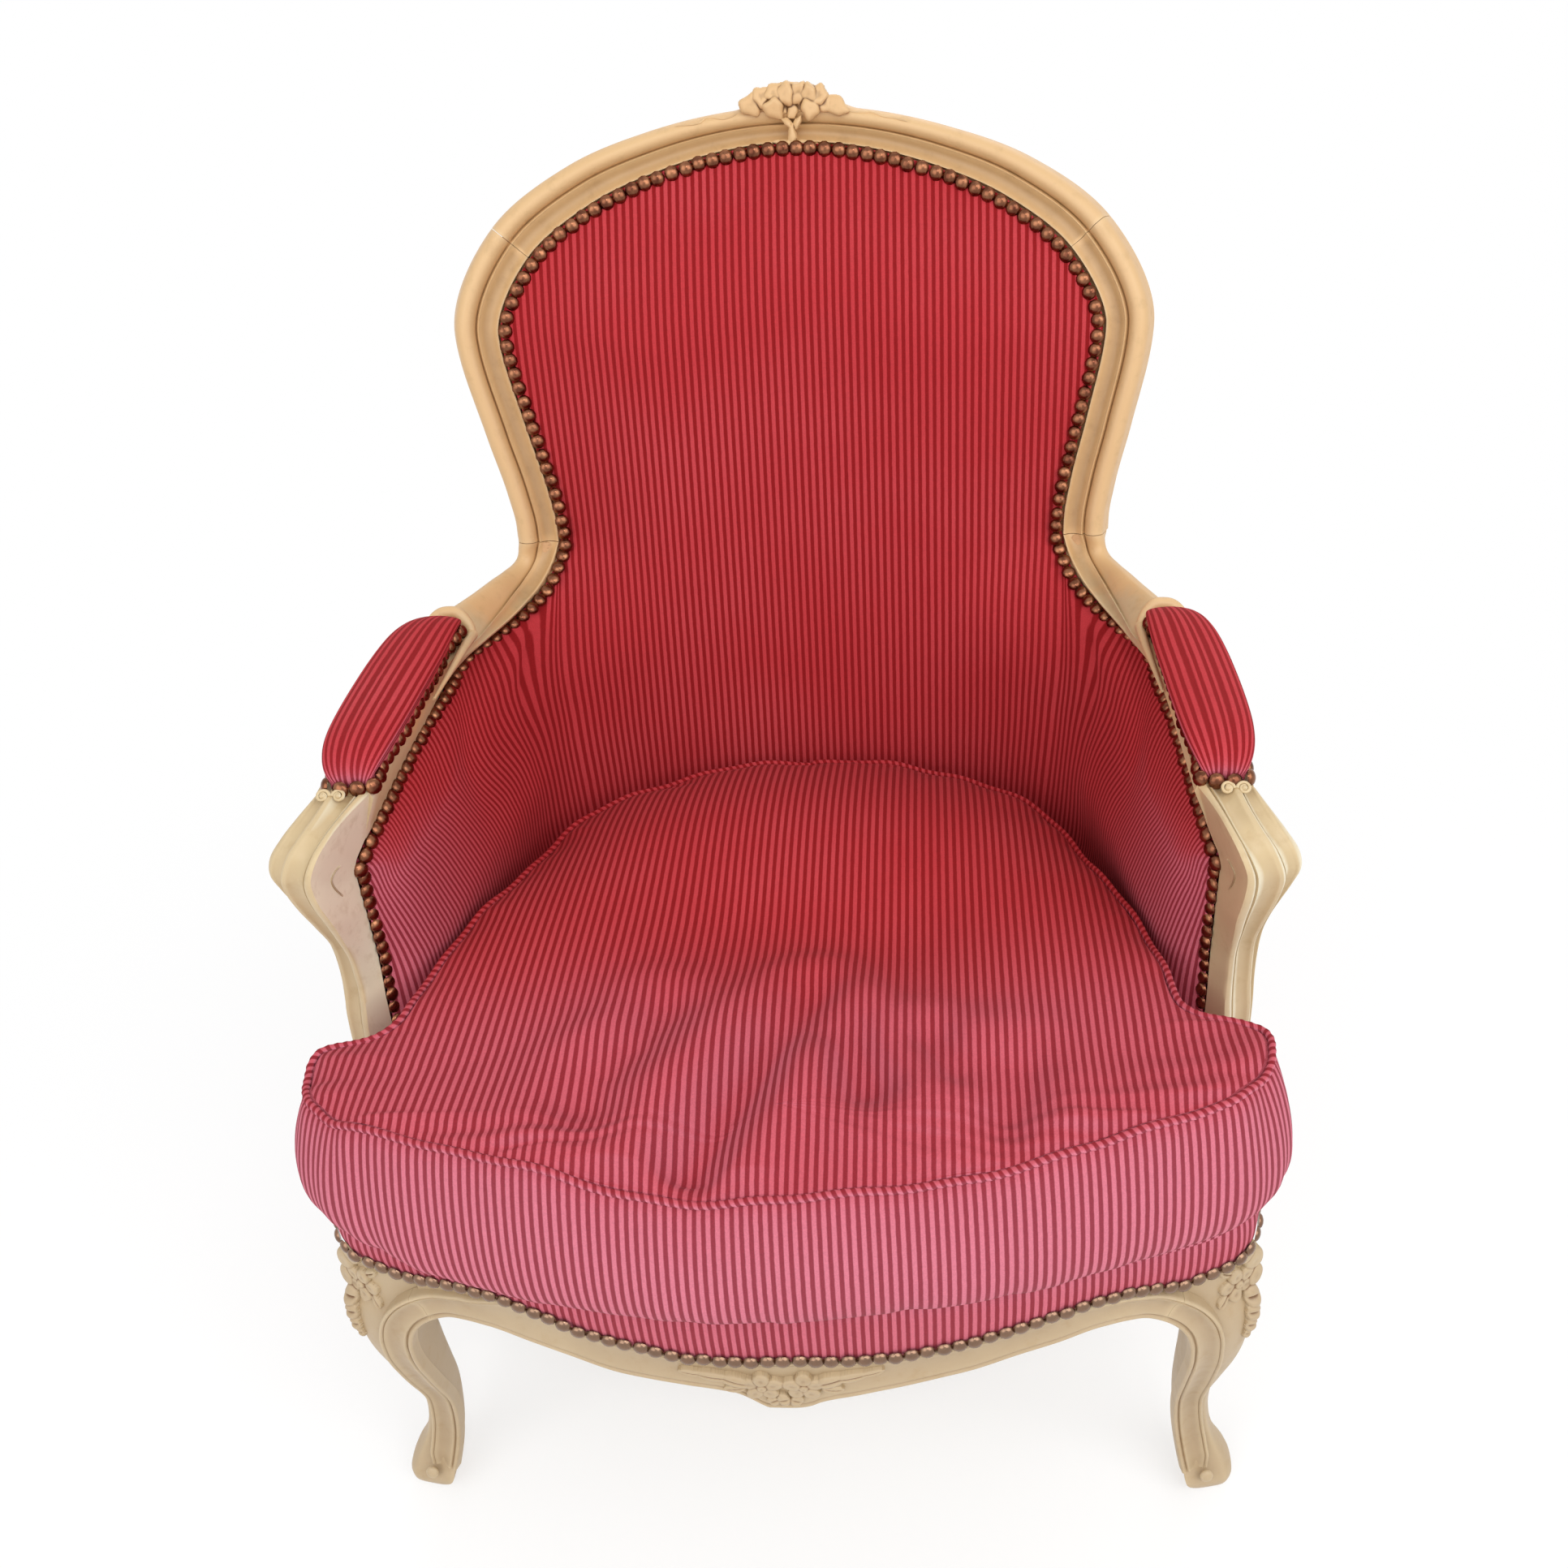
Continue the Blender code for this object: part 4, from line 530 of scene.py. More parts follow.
def outlineFrame(s):  # point, along, inwards and face of the moulded frame at a length from the top
    s = np.atleast_1d(np.asarray(s, float))
    side = np.where(s < 0, -1.0, 1.0)

    def point(places):
        flat = outline(places + topKnot)
        return onBack(flat[:, 0] * side, flat[:, 1], 0)[0]

    middle = point(np.abs(s))
    along = unit(point(np.abs(s) + .0006) - point(np.abs(s) - .0006)) * side[:, None]
    face = onBack(middle[:, 0], middle[:, 2], 0)[1]
    return middle, along, np.cross(along, face), face


def mouldWidth(s):
    return moulding['top'] + (moulding['side'] - moulding['top']) * ease(np.abs(s) / shoulderS)


# section across the moulding: place in widths, depth in mm, and the matching place on the plain arm
beadTurn = np.radians(np.linspace(172, 28, 13))
beadPart = [(.235 + .235 * math.cos(a), -10.5 + 10.2 * math.sin(a)) for a in beadTurn]
hollowPart = [(.53 + .40 * t, -3.2 - 4.4 * math.sin(pi * t) ** .8) for t in np.linspace(0, 1, 10)]
mouldSection = np.array([(.0, -32), (.0, -22), (.0, -15)] + beadPart
                        + [(.462, -7.6), (.478, -8.2), (.494, -7.6), (.505, -4.2)]
                        + hollowPart + [(.95, -2.2), (.975, -2.0), (.99, -2.6), (1, -4), (1, -8)])
armPlaces = np.concatenate([[0, .5, .8], np.linspace(1, 6.6, 13), [6.75, 6.85, 6.95, 7.0], np.linspace(7.05, 7.7, 10),
                            [7.75, 7.8, 7.9, 7.95, 8.0]])


def mouldProfile(s, depth=moulding['depth']):
    width = mouldWidth(s)[:, None]
    crest = np.maximum(0, 1 - np.abs(s / moulding['crestHalf']) ** 3)[:, None] ** 2
    u, v = mouldSection[:, 0][None] * width, np.maximum(mouldSection[:, 1][None] / 1000, -depth)
    rise = np.clip(1 - mouldSection[:, 0] / .46, 0, 1)[None]
    u = u - moulding['crestRise'] * crest * rise
    v = v + moulding['crestLift'] * crest * (mouldSection[:, 0] < .5)[None] * (mouldSection[:, 1] > -12)[None]
    edge = width + moulding['rebate']
    last = np.stack([np.concatenate([edge, edge], 1),
                     np.broadcast_to([-moulding['rebateDepth'], -depth], (len(s), 2))], -1)
    return np.concatenate([np.stack([u, v], -1), last], 1)


def mouldSweep(name, s):
    middle, along, inwards, face = outlineFrame(s)
    return sweep(name, middle, inwards, face, mouldProfile(s))


topRail = mouldSweep('topRail', np.linspace(-shoulderS + .0002, shoulderS - .0002, 301))


# carved work: petals, leaves and stems stand up from the wood as one relief
# each petal is a place, two radii, turn, rise and cup (a vein when below zero); rough is how far the chisel strays
def carve(across, up, petals, floor=-.003, rough=.25):
    height = np.full(across.shape, floor) if np.isscalar(floor) else floor
    for u, v, wide, tall, turn, rise, cup in petals:
        c, s = math.cos(math.radians(turn)), math.sin(math.radians(turn))
        a, b = ((across - u) * c + (up - v) * s) / wide, ((up - v) * c - (across - u) * s) / tall
        angle, own = np.arctan2(b, a), 700 * u + 300 * v  # no two petals alike
        r = (a * a + b * b) * (1 + rough * (.20 * np.sin(3 * angle + own) + .13 * np.sin(5 * angle + 2 * own)))
        within = np.clip(1 - r, 0, 1)
        dome = rise * within ** .33 * (1 + .24 * rough * (a * math.cos(own) + b * math.sin(own)))
        dome = dome - rise * (cup * np.exp(-r / .32) if cup >= 0 else -cup * np.exp(-(b / .2) ** 2) * within)
        height = np.where(r < 1, np.maximum(height, dome), height)
    return height


def flowerPetals(u, v, radius, rise, turn=18):
    petals = []
    for k in range(5):
        angle, out = math.radians(turn + 72 * k), .56 * radius
        petals.append((u + out * math.cos(angle), v + out * math.sin(angle), .50 * radius, .40 * radius, turn + 72 * k,
                       rise * (.9 + .14 * math.sin(2.4 * k)), .30))
    return petals + [(u, v, .25 * radius, .25 * radius, 0, rise * 1.12, .25)]


def relief(name, spots, normals, height, deep):
    piece = gridPiece(name, spots + normals * height[..., None])
    mesh = piece.data
    smooth = height.copy()
    for _ in range(14):
        smooth[1:-1, 1:-1] = (smooth[:-2, 1:-1] + smooth[2:, 1:-1] + smooth[1:-1, :-2] + smooth[1:-1, 2:]) / 4
    # glaze settles at the foot of each petal
    glazed = np.clip(1 - height / .0016, 0, 1) + np.clip((smooth - height) / .0008, 0, .75)
    setValues(piece, 'carved', np.clip(glazed, 0, 1).reshape(-1))
    for part in (mesh.edges, mesh.polygons):
        part.foreach_set('select', np.zeros(len(part), bool))
    mesh.vertices.foreach_set('select', (height < -.0010).reshape(-1))
    bpy.ops.object.mode_set(mode='EDIT')
    bpy.ops.mesh.select_mode(type='VERT')
    bpy.ops.mesh.delete(type='VERT')
    bpy.ops.mesh.select_all(action='SELECT')
    back = -normals.reshape(-1, 3).mean(0) * deep
    bpy.ops.mesh.extrude_region_move(TRANSFORM_OT_translate=dict(value=tuple(map(float, back))))
    bpy.ops.mesh.select_all(action='SELECT')
    bpy.ops.mesh.normals_make_consistent(inside=False)
    bpy.ops.object.mode_set(mode='OBJECT')
    bpy.ops.object.shade_smooth_by_angle(angle=math.radians(60))
    return piece


def lobe(length, width, thick):
    bpy.ops.object.select_all(action='DESELECT')
    bpy.ops.mesh.primitive_uv_sphere_add(segments=20, ring_count=12, radius=.5)
    piece = bpy.context.object
    bpy.ops.object.shade_smooth()
    piece.data.transform(Matrix.Diagonal((length, width, thick, 1)))
    return piece


def laid(piece, spot, normal):  # set on the wood, its x along the wood's own right-hand direction
    normal = unit(normal)
    right = unit(np.array((1.0, 0, 0)) - normal * normal[0])
    return placed(piece, spot, right, np.cross(normal, right), normal)


crestPetals = [  # x, z, two radii, turn, rise, cup: bouquet on a forked stem
    (-.0022, .9655, .0042, .0070, 0, .0036, 0), (.0005, .9765, .0225, .0078, -3, .0056, 0),
    (-.0345, .9698, .0098, .0080, 24, .0062, .16), (-.0262, .9750, .0074, .0074, 20, .0070, .30),
    (-.0166, .9667, .0086, .0078, 8, .0092, .16),
    (-.0165, .9770, .0072, .0070, -30, .0072, .24), (-.0075, .9762, .0084, .0078, 70, .0086, .18),
    (.0035, .9772, .0078, .0066, 80, .0074, .26),
    (.0115, .9757, .0078, .0070, 100, .0086, .18), (.0200, .9750, .0062, .0082, -14, .0076, .30),
    (.0126, .9661, .0080, .0076, -8, .0092, .16),
    (.0240, .9690, .0060, .0066, -30, .0060, .24), (.0325, .9678, .0100, .0072, -22, .0062, .16),
    (-.0064, .9567, .0052, .0029, -43, .0054, 0), (.0014, .9566, .0056, .0029, 54, .0054, 0),
    (-.0032, .9485, .0034, .0082, 0, .0058, 0),
    (-.0034, .9428, .0058, .0028, 0, .0048, 0), (-.0130, .9437, .0066, .0018, 4, .0030, 0),
    (-.0225, .9418, .0058, .0014, 16, .0022, 0),
    (.0064, .9432, .0066, .0018, -4, .0030, 0), (.0165, .9412, .0062, .0014, -12, .0022, 0)]
crestVines = [
    [(-.0454, .9636), (-.0530, .9612), (-.0586, .9603), (-.0650, .9617), (-.0716, .9616), (-.0765, .9584),
    (-.0813, .9575),
     (-.0967, .9567)],
    [(.0404, .9633), (.0500, .9628), (.0595, .9632), (.0640, .9620), (.0700, .9600), (.0790, .9588), (.0902, .9560)]]


def crestCarving():
    x, z = np.meshgrid(np.linspace(-.050, .048, 197), np.linspace(.938, .990, 105))
    mound = carve(x, z, [(-.0045, .9735, .0310, .0108, 3, .0046, 0)])
    mound = mound - .0050 * np.exp(-((x + .0022) / .0055) ** 2 - ((z - .9685) / .0070) ** 2)  # hollow round the bud
    spots, normals = onBack(x, z, .0006)
    parts = [relief('bouquet', spots, normals, carve(x, z, crestPetals, mound, rough=1), .013)]
    for vine in crestVines:  # edges of two flat leaves lying along the bead
        vine = evenly(vine, step=.001)
        places = np.linspace(topKnot, outline.end, 300)
        s = np.sign(vine[:, 0]) * np.interp(np.abs(vine[:, 0]), outline(places)[:, 0], places - topKnot)
        middle, _, inwards, face = outlineFrame(s)
        deep = ((vine - middle[:, [0, 2]]) * inwards[:, [0, 2]]).sum(1)
        height = np.interp(deep / mouldWidth(s), mouldSection[3:16, 0], mouldSection[3:16, 1] / 1000)
        line = middle + inwards * deep[:, None] + face * (height - .0001)[:, None]
        edge = tube('vine', line, .0011 * np.sin(np.linspace(.2, pi - .1, len(line))) ** .5, corners=8)
        setValues(edge, 'carved', np.full(len(edge.data.vertices), .55))
        parts.append(edge)
    return parts


topRail = joined('topRail', [topRail] + crestCarving())
print('top rail swept')

post = dict(x=.2275, width=.036, face=.0105, depth=.028, armSeat=.025, footX=.236, footY=.262, footSize=.030,
            railBottom=.286)


def roundedRing(low, high, count, share=.28):  # rounded rectangle, outer back corner first, round by the front
    (u0, v0), (u1, v1) = low, high
    turn = np.linspace(0, 2 * pi, count, endpoint=False) + pi * 1.25
    x, y = np.cos(-turn), np.sin(-turn)
    x, y = (np.sign(a) * np.abs(a) ** share for a in (x, y))
    return np.stack([(u0 + u1) / 2 + x * (u1 - u0) / 2, (v0 + v1) / 2 + y * (v1 - v0) / 2], 1)


def postPiece():
    upper = mouldSweep('rightPost', np.linspace(shoulderS + .0002, waistS - .0002, 90))
    rings, count = [], 40
    for z, turn in ((.652, 1), (.605, 1), (.55, 1), (.45, 0), (.392, 0), (.345, 0), (.286, 0)):
        spot, normal = onBack(post['x'], z, 0)
        back = unit((-normal[0] * turn, 1, 0))
        outer = np.array((back[1], -back[0], 0))
        ring = roundedRing((-post['width'] / 2, post['face'] + (.004 if z > .6 else 0)),
                           (post['width'] / 2, post['face'] + post['depth']), count)
        rings.append(spot + outer * ring[:, :1] + back * ring[:, 1:])
    spot = onBack(post['x'], post['railBottom'], 0)[0]
    seat = np.array((post['x'], spot[1] + post['face'] + post['depth'] / 2, post['railBottom']))
    foot = np.array((post['footX'], post['footY'], 0))
    for t in np.linspace(.03, 1, 28):
        middle = seat + (foot - seat) * t ** 1.7
        middle[2] = seat[2] * (1 - t)
        waist = 1 - .22 * math.sin(pi * min(t * 1.1, 1))
        wide = (post['width'] + (post['footSize'] - post['width']) * t) * waist / 2
        deep = (post['depth'] + (post['footSize'] - post['depth']) * t) * (1 - .1 * math.sin(pi * t)) / 2
        ring = roundedRing((-wide, -deep), (wide, deep), count, .28 + .25 * t)
        rings.append(middle + np.concatenate([ring, np.zeros((count, 1))], 1))
    lower = gridPiece('rightLeg', wrapped(np.array(rings)), closed=True, capped=True)
    return joined('rightBackPost', [upper, lower])


rightPost = postPiece()
print('posts swept')


# arms: the moulding turns forward at the waist and thins to a bar under the pad
waistSpot, waistAlong, waistIn, waistFace = (a[0] for a in outlineFrame([waistS]))
halfMould = (moulding['side'] + moulding['rebate']) / 2
armPath = [  # middle of the section, and the way from its lip to its bead
    (waistSpot + waistIn * halfMould + waistAlong * .0003, -waistIn), ((.2345, .2060, .6375), (.95, .22, .22)),
    ((.2438, .1885, .6285), (.86, .25, .42)), ((.2535, .1690, .6255), (.79, .20, .58)),
    ((.266, .146, .6235), (.76, .18, .62)), ((.2815, .108, .6245), (.83, .12, .54)),
    ((.2915, .06, .6245), (.97, .05, .24)), ((.297, 0, .6245), (1, 0, 0)), ((.300, -.06, .6245), (1, 0, 0)),
    ((.302, -.1275, .6255), (1, 0, 0))]
armKnots = curveThrough([p[0] for p in armPath]).knots
armKnots = armKnots / armKnots[-1]
armMiddle, armOut = (curveThrough([p[k] for p in armPath], armKnots) for k in range(2))
armBar = dict(halfWidth=.021, halfHeight=.0205)
barShares = np.array([(.62, -1), (1, -.45), (1, .35), (.86, .98), (.4, 1), (0, 1), (-.5, 1), (-.92, .98), (-1, .72),
                      (-.40, -.74), (-.34, -1)])


def armFrames(t):
    along = unit(armMiddle(np.minimum(t + .01, 1)) - armMiddle(np.maximum(t - .01, 0)))
    turned = ease(t / .13)[:, None]
    along = unit(waistAlong * (1 - turned) + along * turned)
    out = armOut(t)
    out = unit(out - along * (out * along).sum(1, keepdims=True))
    return armMiddle(t), out, np.cross(along, out)


def armProfile(t):
    t = np.asarray(t, float)
    root = mouldProfile(np.full(len(t), waistS), post['armSeat'])
    root = np.stack([halfMould - root[..., 0], root[..., 1]], -1)
    root[:, -2:, 0] = root[:, -3:-2, 0] + (root[:, -2:, 0] - root[:, -3:-2, 0]) * .2  # rebate runs out under the cloth
    places = np.concatenate([armPlaces, [9, 10]])
    bar = np.stack([np.interp(places, range(11), barShares[:, 0]) * armBar['halfWidth'],
                    np.interp(places, range(11), barShares[:, 1]) * armBar['halfHeight']], 1)
    blend = ease(t / .5)[:, None, None]
    return root * (1 - blend) + bar[None] * blend


armT = np.linspace(0, 1, 120)
middle, out, up = armFrames(armT)
rightArm = sweep('rightArm', middle, out, up, armProfile(armT))
leftPadMove = Matrix.Translation((.005, 0, 0)) @ Matrix.Diagonal((-1, 1, 1, 1))  # the left pad sits a little further in


def armCollar():  # raised band across the arm behind its pad, drawn out along the inner edge of the pad
    over = curveThrough([(.3075, .088, .634), (.3035, .093, .6450), (.2945, .0975, .6520), (.2840, .098, .6530),
                         (.2745, .094, .6465), (.2690, .088, .6360)])
    path = over(np.linspace(0, over.end, 40))
    band = tube('collar', path, .0052 * np.sin(np.linspace(.25, pi - .25, 40)) ** .4, corners=14, start=(0, 1, 0))
    strip = curveThrough([(.2695, .088, .6385), (.2690, .070, .6420), (.2715, .030, .6425), (.2745, -.010, .6425)])
    edge = tube('collarStrip', strip(np.linspace(0, strip.end, 40)), np.linspace(.0042, .0012, 40), corners=10)
    return [band, edge]


collar = joined('collar', armCollar())
leftArm = joined('leftArm', [otherSide(rightArm, 'leftArm'), copied(collar, 'leftCollar', leftPadMove)])
rightArm = joined('rightArm', [rightArm, collar])


# arm supports: ridged down the front, over the knuckle and down to the seat rail
supportEdges = dict(  # five edges of the carved block from the pad down to the seat rail
    inner=[(.2925, -.122, .610), (.2970, -.135, .602), (.3005, -.1415, .595), (.3015, -.1435, .589), (.302, -.145, .582),
           (.302, -.146, .572), (.302, -.147, .559), (.3025, -.148, .540), (.3028, -.150, .515), (.303, -.153, .498),
           (.303, -.1575, .481), (.3025, -.1625, .461), (.3005, -.172, .420), (.297, -.180, .380), (.2935, -.186, .347)],
    front=[(.2825, -.1265, .6435), (.2900, -.152, .6440), (.2950, -.175, .6435), (.3005, -.190, .637),
           (.3065, -.195, .623),
           (.3075, -.194, .604), (.3075, -.1865, .580), (.310, -.175, .551), (.312, -.166, .521), (.313, -.1655, .499),
           (.313, -.170, .482), (.3135, -.177, .462), (.312, -.187, .420), (.309, -.196, .380), (.3045, -.204, .347)],
    ridge=[(.3065, -.1265, .6470), (.3115, -.150, .6430), (.3175, -.168, .6385), (.3255, -.1775, .629),
           (.3330, -.180, .613),
           (.3355, -.1765, .596), (.3345, -.1715, .578), (.3320, -.163, .553), (.331, -.153, .525), (.3325, -.150, .502),
           (.3335, -.152, .482), (.3345, -.159, .462), (.333, -.170, .420), (.330, -.179, .380), (.325, -.188, .347)],
    outer=[(.323, -.1260, .6380), (.3310, -.142, .6335), (.3400, -.154, .6255), (.3480, -.160, .615),
           (.3510, -.1615, .603),
           (.3470, -.1605, .589), (.3415, -.158, .572), (.3385, -.151, .551), (.338, -.142, .525), (.338, -.139, .502),
           (.338, -.141, .482), (.338, -.147, .462), (.337, -.157, .420), (.334, -.166, .380), (.3285, -.175, .347)],
    back=[(.318, -.122, .606), (.324, -.136, .602), (.332, -.1415, .595), (.339, -.1435, .589), (.342, -.145, .582),
          (.341, -.146, .572), (.338, -.147, .559), (.336, -.143, .540), (.3355, -.134, .515), (.3355, -.131, .498),
          (.3355, -.133, .481), (.3355, -.139, .461), (.334, -.149, .420), (.331, -.158, .380), (.3265, -.168, .347)])


supportMould = dict(  # across the face, in shares of it: height, place and reach
    beads=[(.0013, .055, .06), (.0014, .94, .065)], lines=[(-.0020, .145, .014), (.0012, .56, .06), (-.0022, .635, .013)],
    coves=[(-.0034, .17, .33), (-.0022, .65, .22)], ridge=.55, gain=1.5)


def supportPiece():  # flat inner side, then bead, cavetto, crested ridge, hollow and outer bead
    knots = curveThrough(supportEdges['front']).knots
    places = np.linspace(0, knots[-1], 150)
    inner, front, ridge, outer, back = (curveThrough(supportEdges[k], knots)(places) for k in supportEdges)
    outward = unit(np.cross(outer - front, unit(np.gradient(front, axis=0))))
    outward *= np.sign((outward * (ridge - (inner + back) / 2)).sum(1))[:, None]
    w, r = np.linspace(0, 1, 97), supportMould['ridge']
    mould = sum(height * np.sqrt(np.maximum(0, 1 - ((w - at) / reach) ** 2))
                for height, at, reach in supportMould['beads'])
    mould = mould + sum(height * np.exp(-((w - at) / reach) ** 2) for height, at, reach in supportMould['lines'])
    mould = mould + sum(height * np.sin(pi * np.clip((w - at) / reach, 0, 1)) ** .9
                        for height, at, reach in supportMould['coves'])
    shares = ((w - r) * (w - 1) / r, w * (w - 1) / (r * (r - 1)), w * (w - r) / (1 - r))
    face = sum(edge[:, None] * share[None, :, None] for edge, share in zip((front, ridge, outer), shares))
    face = face + outward[:, None] * mould[None, :, None] * supportMould['gain']

    def flat(first, last, count):
        step = np.linspace(0, 1, count + 1)[:-1][None, :, None]
        return first[:, None] + (last - first)[:, None] * step

    ring = np.concatenate([flat(inner, front, 10), face[:, :-1], flat(outer, back, 4), flat(back, inner, 6)], 1)
    return gridPiece('rightArmSupport', wrapped(ring), closed=True, capped=True)


def volute(way, turns=1.35):  # little scroll under the front of the arm pad
    share = np.linspace(0, 1, 46)
    angle, reach = share * turns * 2 * pi, .0046 * (1 - .66 * share)
    path = np.stack([way * reach * np.cos(angle), reach * np.sin(angle), .0006 + .0010 * share], 1)
    curl = tube('volute', path, np.linspace(.0013, .0009, 46), corners=8)
    bpy.ops.object.select_all(action='DESELECT')
    bpy.ops.mesh.primitive_uv_sphere_add(segments=14, ring_count=8, radius=.0021, location=(0, 0, .0012))
    bpy.ops.object.transform_apply(location=True)
    return joined('volute', [curl, bpy.context.object])


def scribePiece():  # thin gouged curve on the inner side of the knuckle, seen as a dark line
    at = np.linspace(-1, 1, 21)
    inner, front = (np.stack([np.interp(at, (-1, 0, 1), np.array(supportEdges[k])[3:6, axis]) for axis in range(3)], 1)
                    for k in ('inner', 'front'))
    share = (.44 + .15 * (1 - at ** 2))[:, None]
    scribe = tube('scribe', inner * (1 - share) + front * share, .0008, corners=8)
    setValues(scribe, 'carved', np.ones(len(scribe.data.vertices)))
    return scribe


rightSupport = supportPiece()
scrolls = [placed(volute(way), (x, -.1335, .6468), (1, 0, 0), (0, .83, .557), (0, -.557, .83))
           for x, way in ((.3015, 1), (.3125, -1))]
rightSupport = joined('rightArmSupport', [rightSupport, scribePiece()] + scrolls)
print('arms and supports swept')


# front rail and legs: one moulded band runs along the rail, round the arch and down the leg
frontBow = dict(y=-.3545, bow=.070, bowX=.335, turn=.42, legTurn=.17)
railLow = valueBy((-.2755, -.258, -.24, -.222, -.19, -.163, -.1287, -.1024, -.0763, -.0504, -.0402, -.0304, -.0231,
                   -.018, -.0023,
                   .0123, .0191, .0297, .0428, .0611, .0792, .1051, .1283, .163, .19, .222, .24, .258, .2755),
                  (.2900, .3005, .3050, .3055, .2985, .2910, .2795, .2759, .2729, .2693, .2665, .2589, .2519, .2487,
                  .2487,
                   .2516, .2559, .2598, .2628, .2676, .2717, .2778, .2825, .2930, .2985, .3055, .3050, .3005, .2900))
nailZ = valueBy((-.33, -.305, -.28, -.25, -.2275, -.2092, -.1912, -.1753, -.1595, -.1462, -.1214, -.1, -.0804,
                 -.0588, -.0373, -.017, .0057,
                 .0294, .0518, .073, .0956, .1168, .14, .163, .19, .2203, .2457, .268, .2802, .2966, .3066, .33),
                (.3500, .3475, .3455, .3505, .3535, .3535, .3480, .3425, .3365, .3300, .3240, .3200, .3150, .3130,
                .3132, .3145, .3155,
                 .3150, .3143, .3153, .3185, .3210, .3260, .3315, .3385, .3445, .3425, .3370, .3340, .3360, .3375, .3440))


def railHem(x):  # upper lip of the moulded band, under the nails
    share = ease((np.abs(x) - .19) / .05)
    return (nailZ(x) - .0060) * (1 - share) + .3342 * share


def frontY(x):
    return frontBow['y'] + frontBow['bow'] * (np.asarray(x, float) / frontBow['bowX']) ** 2


def frontFace(x):  # the way the front of the rail faces
    return unit(np.stack([frontBow['turn'] * x, -np.ones_like(x), np.zeros_like(x)], -1))


legHeights = [0, .012, .030, .055, .085, .120, .160, .200, .240, .262, .282, .300, .351]
legSides = dict(
    inner=[.3310, .3180, .3125, .3066, .3015, .2978, .2953, .2945, .2940, .2915, .2845, .2755, .2755],
    lip=[.351, .3505, .346, .3355, .3275, .3225, .3215, .322, .3205, .3185, .313, .306, .306],
    outer=[.3585, .3600, .3530, .3395, .3325, .3305, .335, .3405, .3415, .3410, .3400, .338, .333],
    front=[-.2975, -.2985, -.2920, -.2815, -.2785, -.2805, -.292, -.303, -.311, -.3122, -.3115, -.307, -.299],
    back=[-.25705, -.254, -.24937, -.2482, -.2475, -.246, -.250, -.252, -.252, -.250, -.245, -.2265, -.2265])
legSide = {side: valueBy(legHeights, row) for side, row in legSides.items()}

railXs = (0, .03, .065, .10, .13, .16, .19, .22, .24)
legZs = (.22, .2, .18, .16, .14, .12, .1, .085, .07, .055, .042, .030)
bandPath = np.array([(x, frontY(x), railLow(x)) for x in railXs]
                    + [(.2555, -.3135, .3005), (.2680, -.3122, .2945), (.2790, -.3118, .2860), (.2868, -.3120, .2750),
                       (.2915, -.3120, .2610), (.2938, -.3110, .2420)]
                    + [(legSide['inner'](z), legSide['front'](z) + .005 * ease((.034 - z) / .022), z) for z in legZs])
bandFaces = np.array([(frontBow['turn'] * x, -1, 0) for x in railXs]
                     + [(.10, -1, .02), (.12, -1, .03), (.14, -1, .02), (.15, -1, .0), (.16, -1, -.03), (.17, -1, -.10)]
                     + [(frontBow['legTurn'], -1, tip)
                        for tip in (-.22, -.32, -.36, -.34, -.28, -.16, 0, .05, .12, .22, .32, .42)])
bandWidths = [.0505, .0485, .044, .040, .0345, .032, .031, .030, .0292, .0283, .0275, .0270, .0268, .0266, .0266] \
    + [.0268, .0268, .0266, .0260, .0252, .0247, .0250, .0254, .0258, .0262, .0262, .0225]
bandLine = curveThrough(bandPath)
bandRun = bandLine.knots
bandFace, bandWidth = curveThrough(bandFaces, bandRun), curveThrough(bandWidths, bandRun)
railEnd = bandRun[10]  # joint of rail and leg


def bandSection(width):  # thin edge bead, fine line, wide cavetto, outer lip; back face sunk in the wood
    width = np.asarray(width)[:, None]
    turn = np.radians(np.linspace(180, 20, 9))
    bead = np.stack([.0019 + .0019 * np.cos(turn), -.0020 + .0022 * np.sin(turn)], 1)
    place = np.concatenate([[0, 0], bead[:, 0], [.0040, .0046, .0052, .0060]])
    height = np.concatenate([[-.010, -.0060], bead[:, 1], [-.0016, -.0020, -.0012, -.0004]])
    share = np.linspace(0, 1, 12)
    cove = -.0004 - .0026 * np.sin(pi * share ** 1.15) ** .9
    first, last = .0066, width - .0042
    places = np.concatenate([np.broadcast_to(place, (len(width), len(place))), first + (last - first) * share[None],
                             width - np.array([.0036, .0028, .0018, .0008, .0002, .0, .0])[None]], 1)
    heights = np.concatenate([height, cove, [-.0012, -.0001, .0005, .0002, -.0010, -.0030, -.010]])
    return np.stack([places, np.broadcast_to(heights, places.shape)], -1)


def bandFrame(places):  # point, way across the band and its face
    along = unit(bandLine(np.minimum(places + .002, bandLine.end)) - bandLine(places - .002))
    away = unit(np.cross(unit(bandFace(places)), along))
    return bandLine(places), away, unit(np.cross(along, away))


def railBand():  # level along the rail, then round into both legs
    x = np.linspace(-.24, .24, 261)
    spots, faces = np.stack([x, frontY(x), railLow(x)], 1), frontFace(x)
    places = np.linspace(bandRun[8], railEnd - .0001, 16)[1:]
    end, away, face = bandFrame(places)
    widths = np.concatenate([bandWidth(places)[::-1, 0], railHem(x) - spots[:, 2], bandWidth(places)[:, 0]])
    ups = np.concatenate([mirrored(away[::-1]), np.broadcast_to((0.0, 0, 1), faces.shape), away])
    return sweep('railBand', np.concatenate([mirrored(end[::-1]), spots, end]), ups,
                 np.concatenate([mirrored(face[::-1]), faces, face]), bandSection(widths))


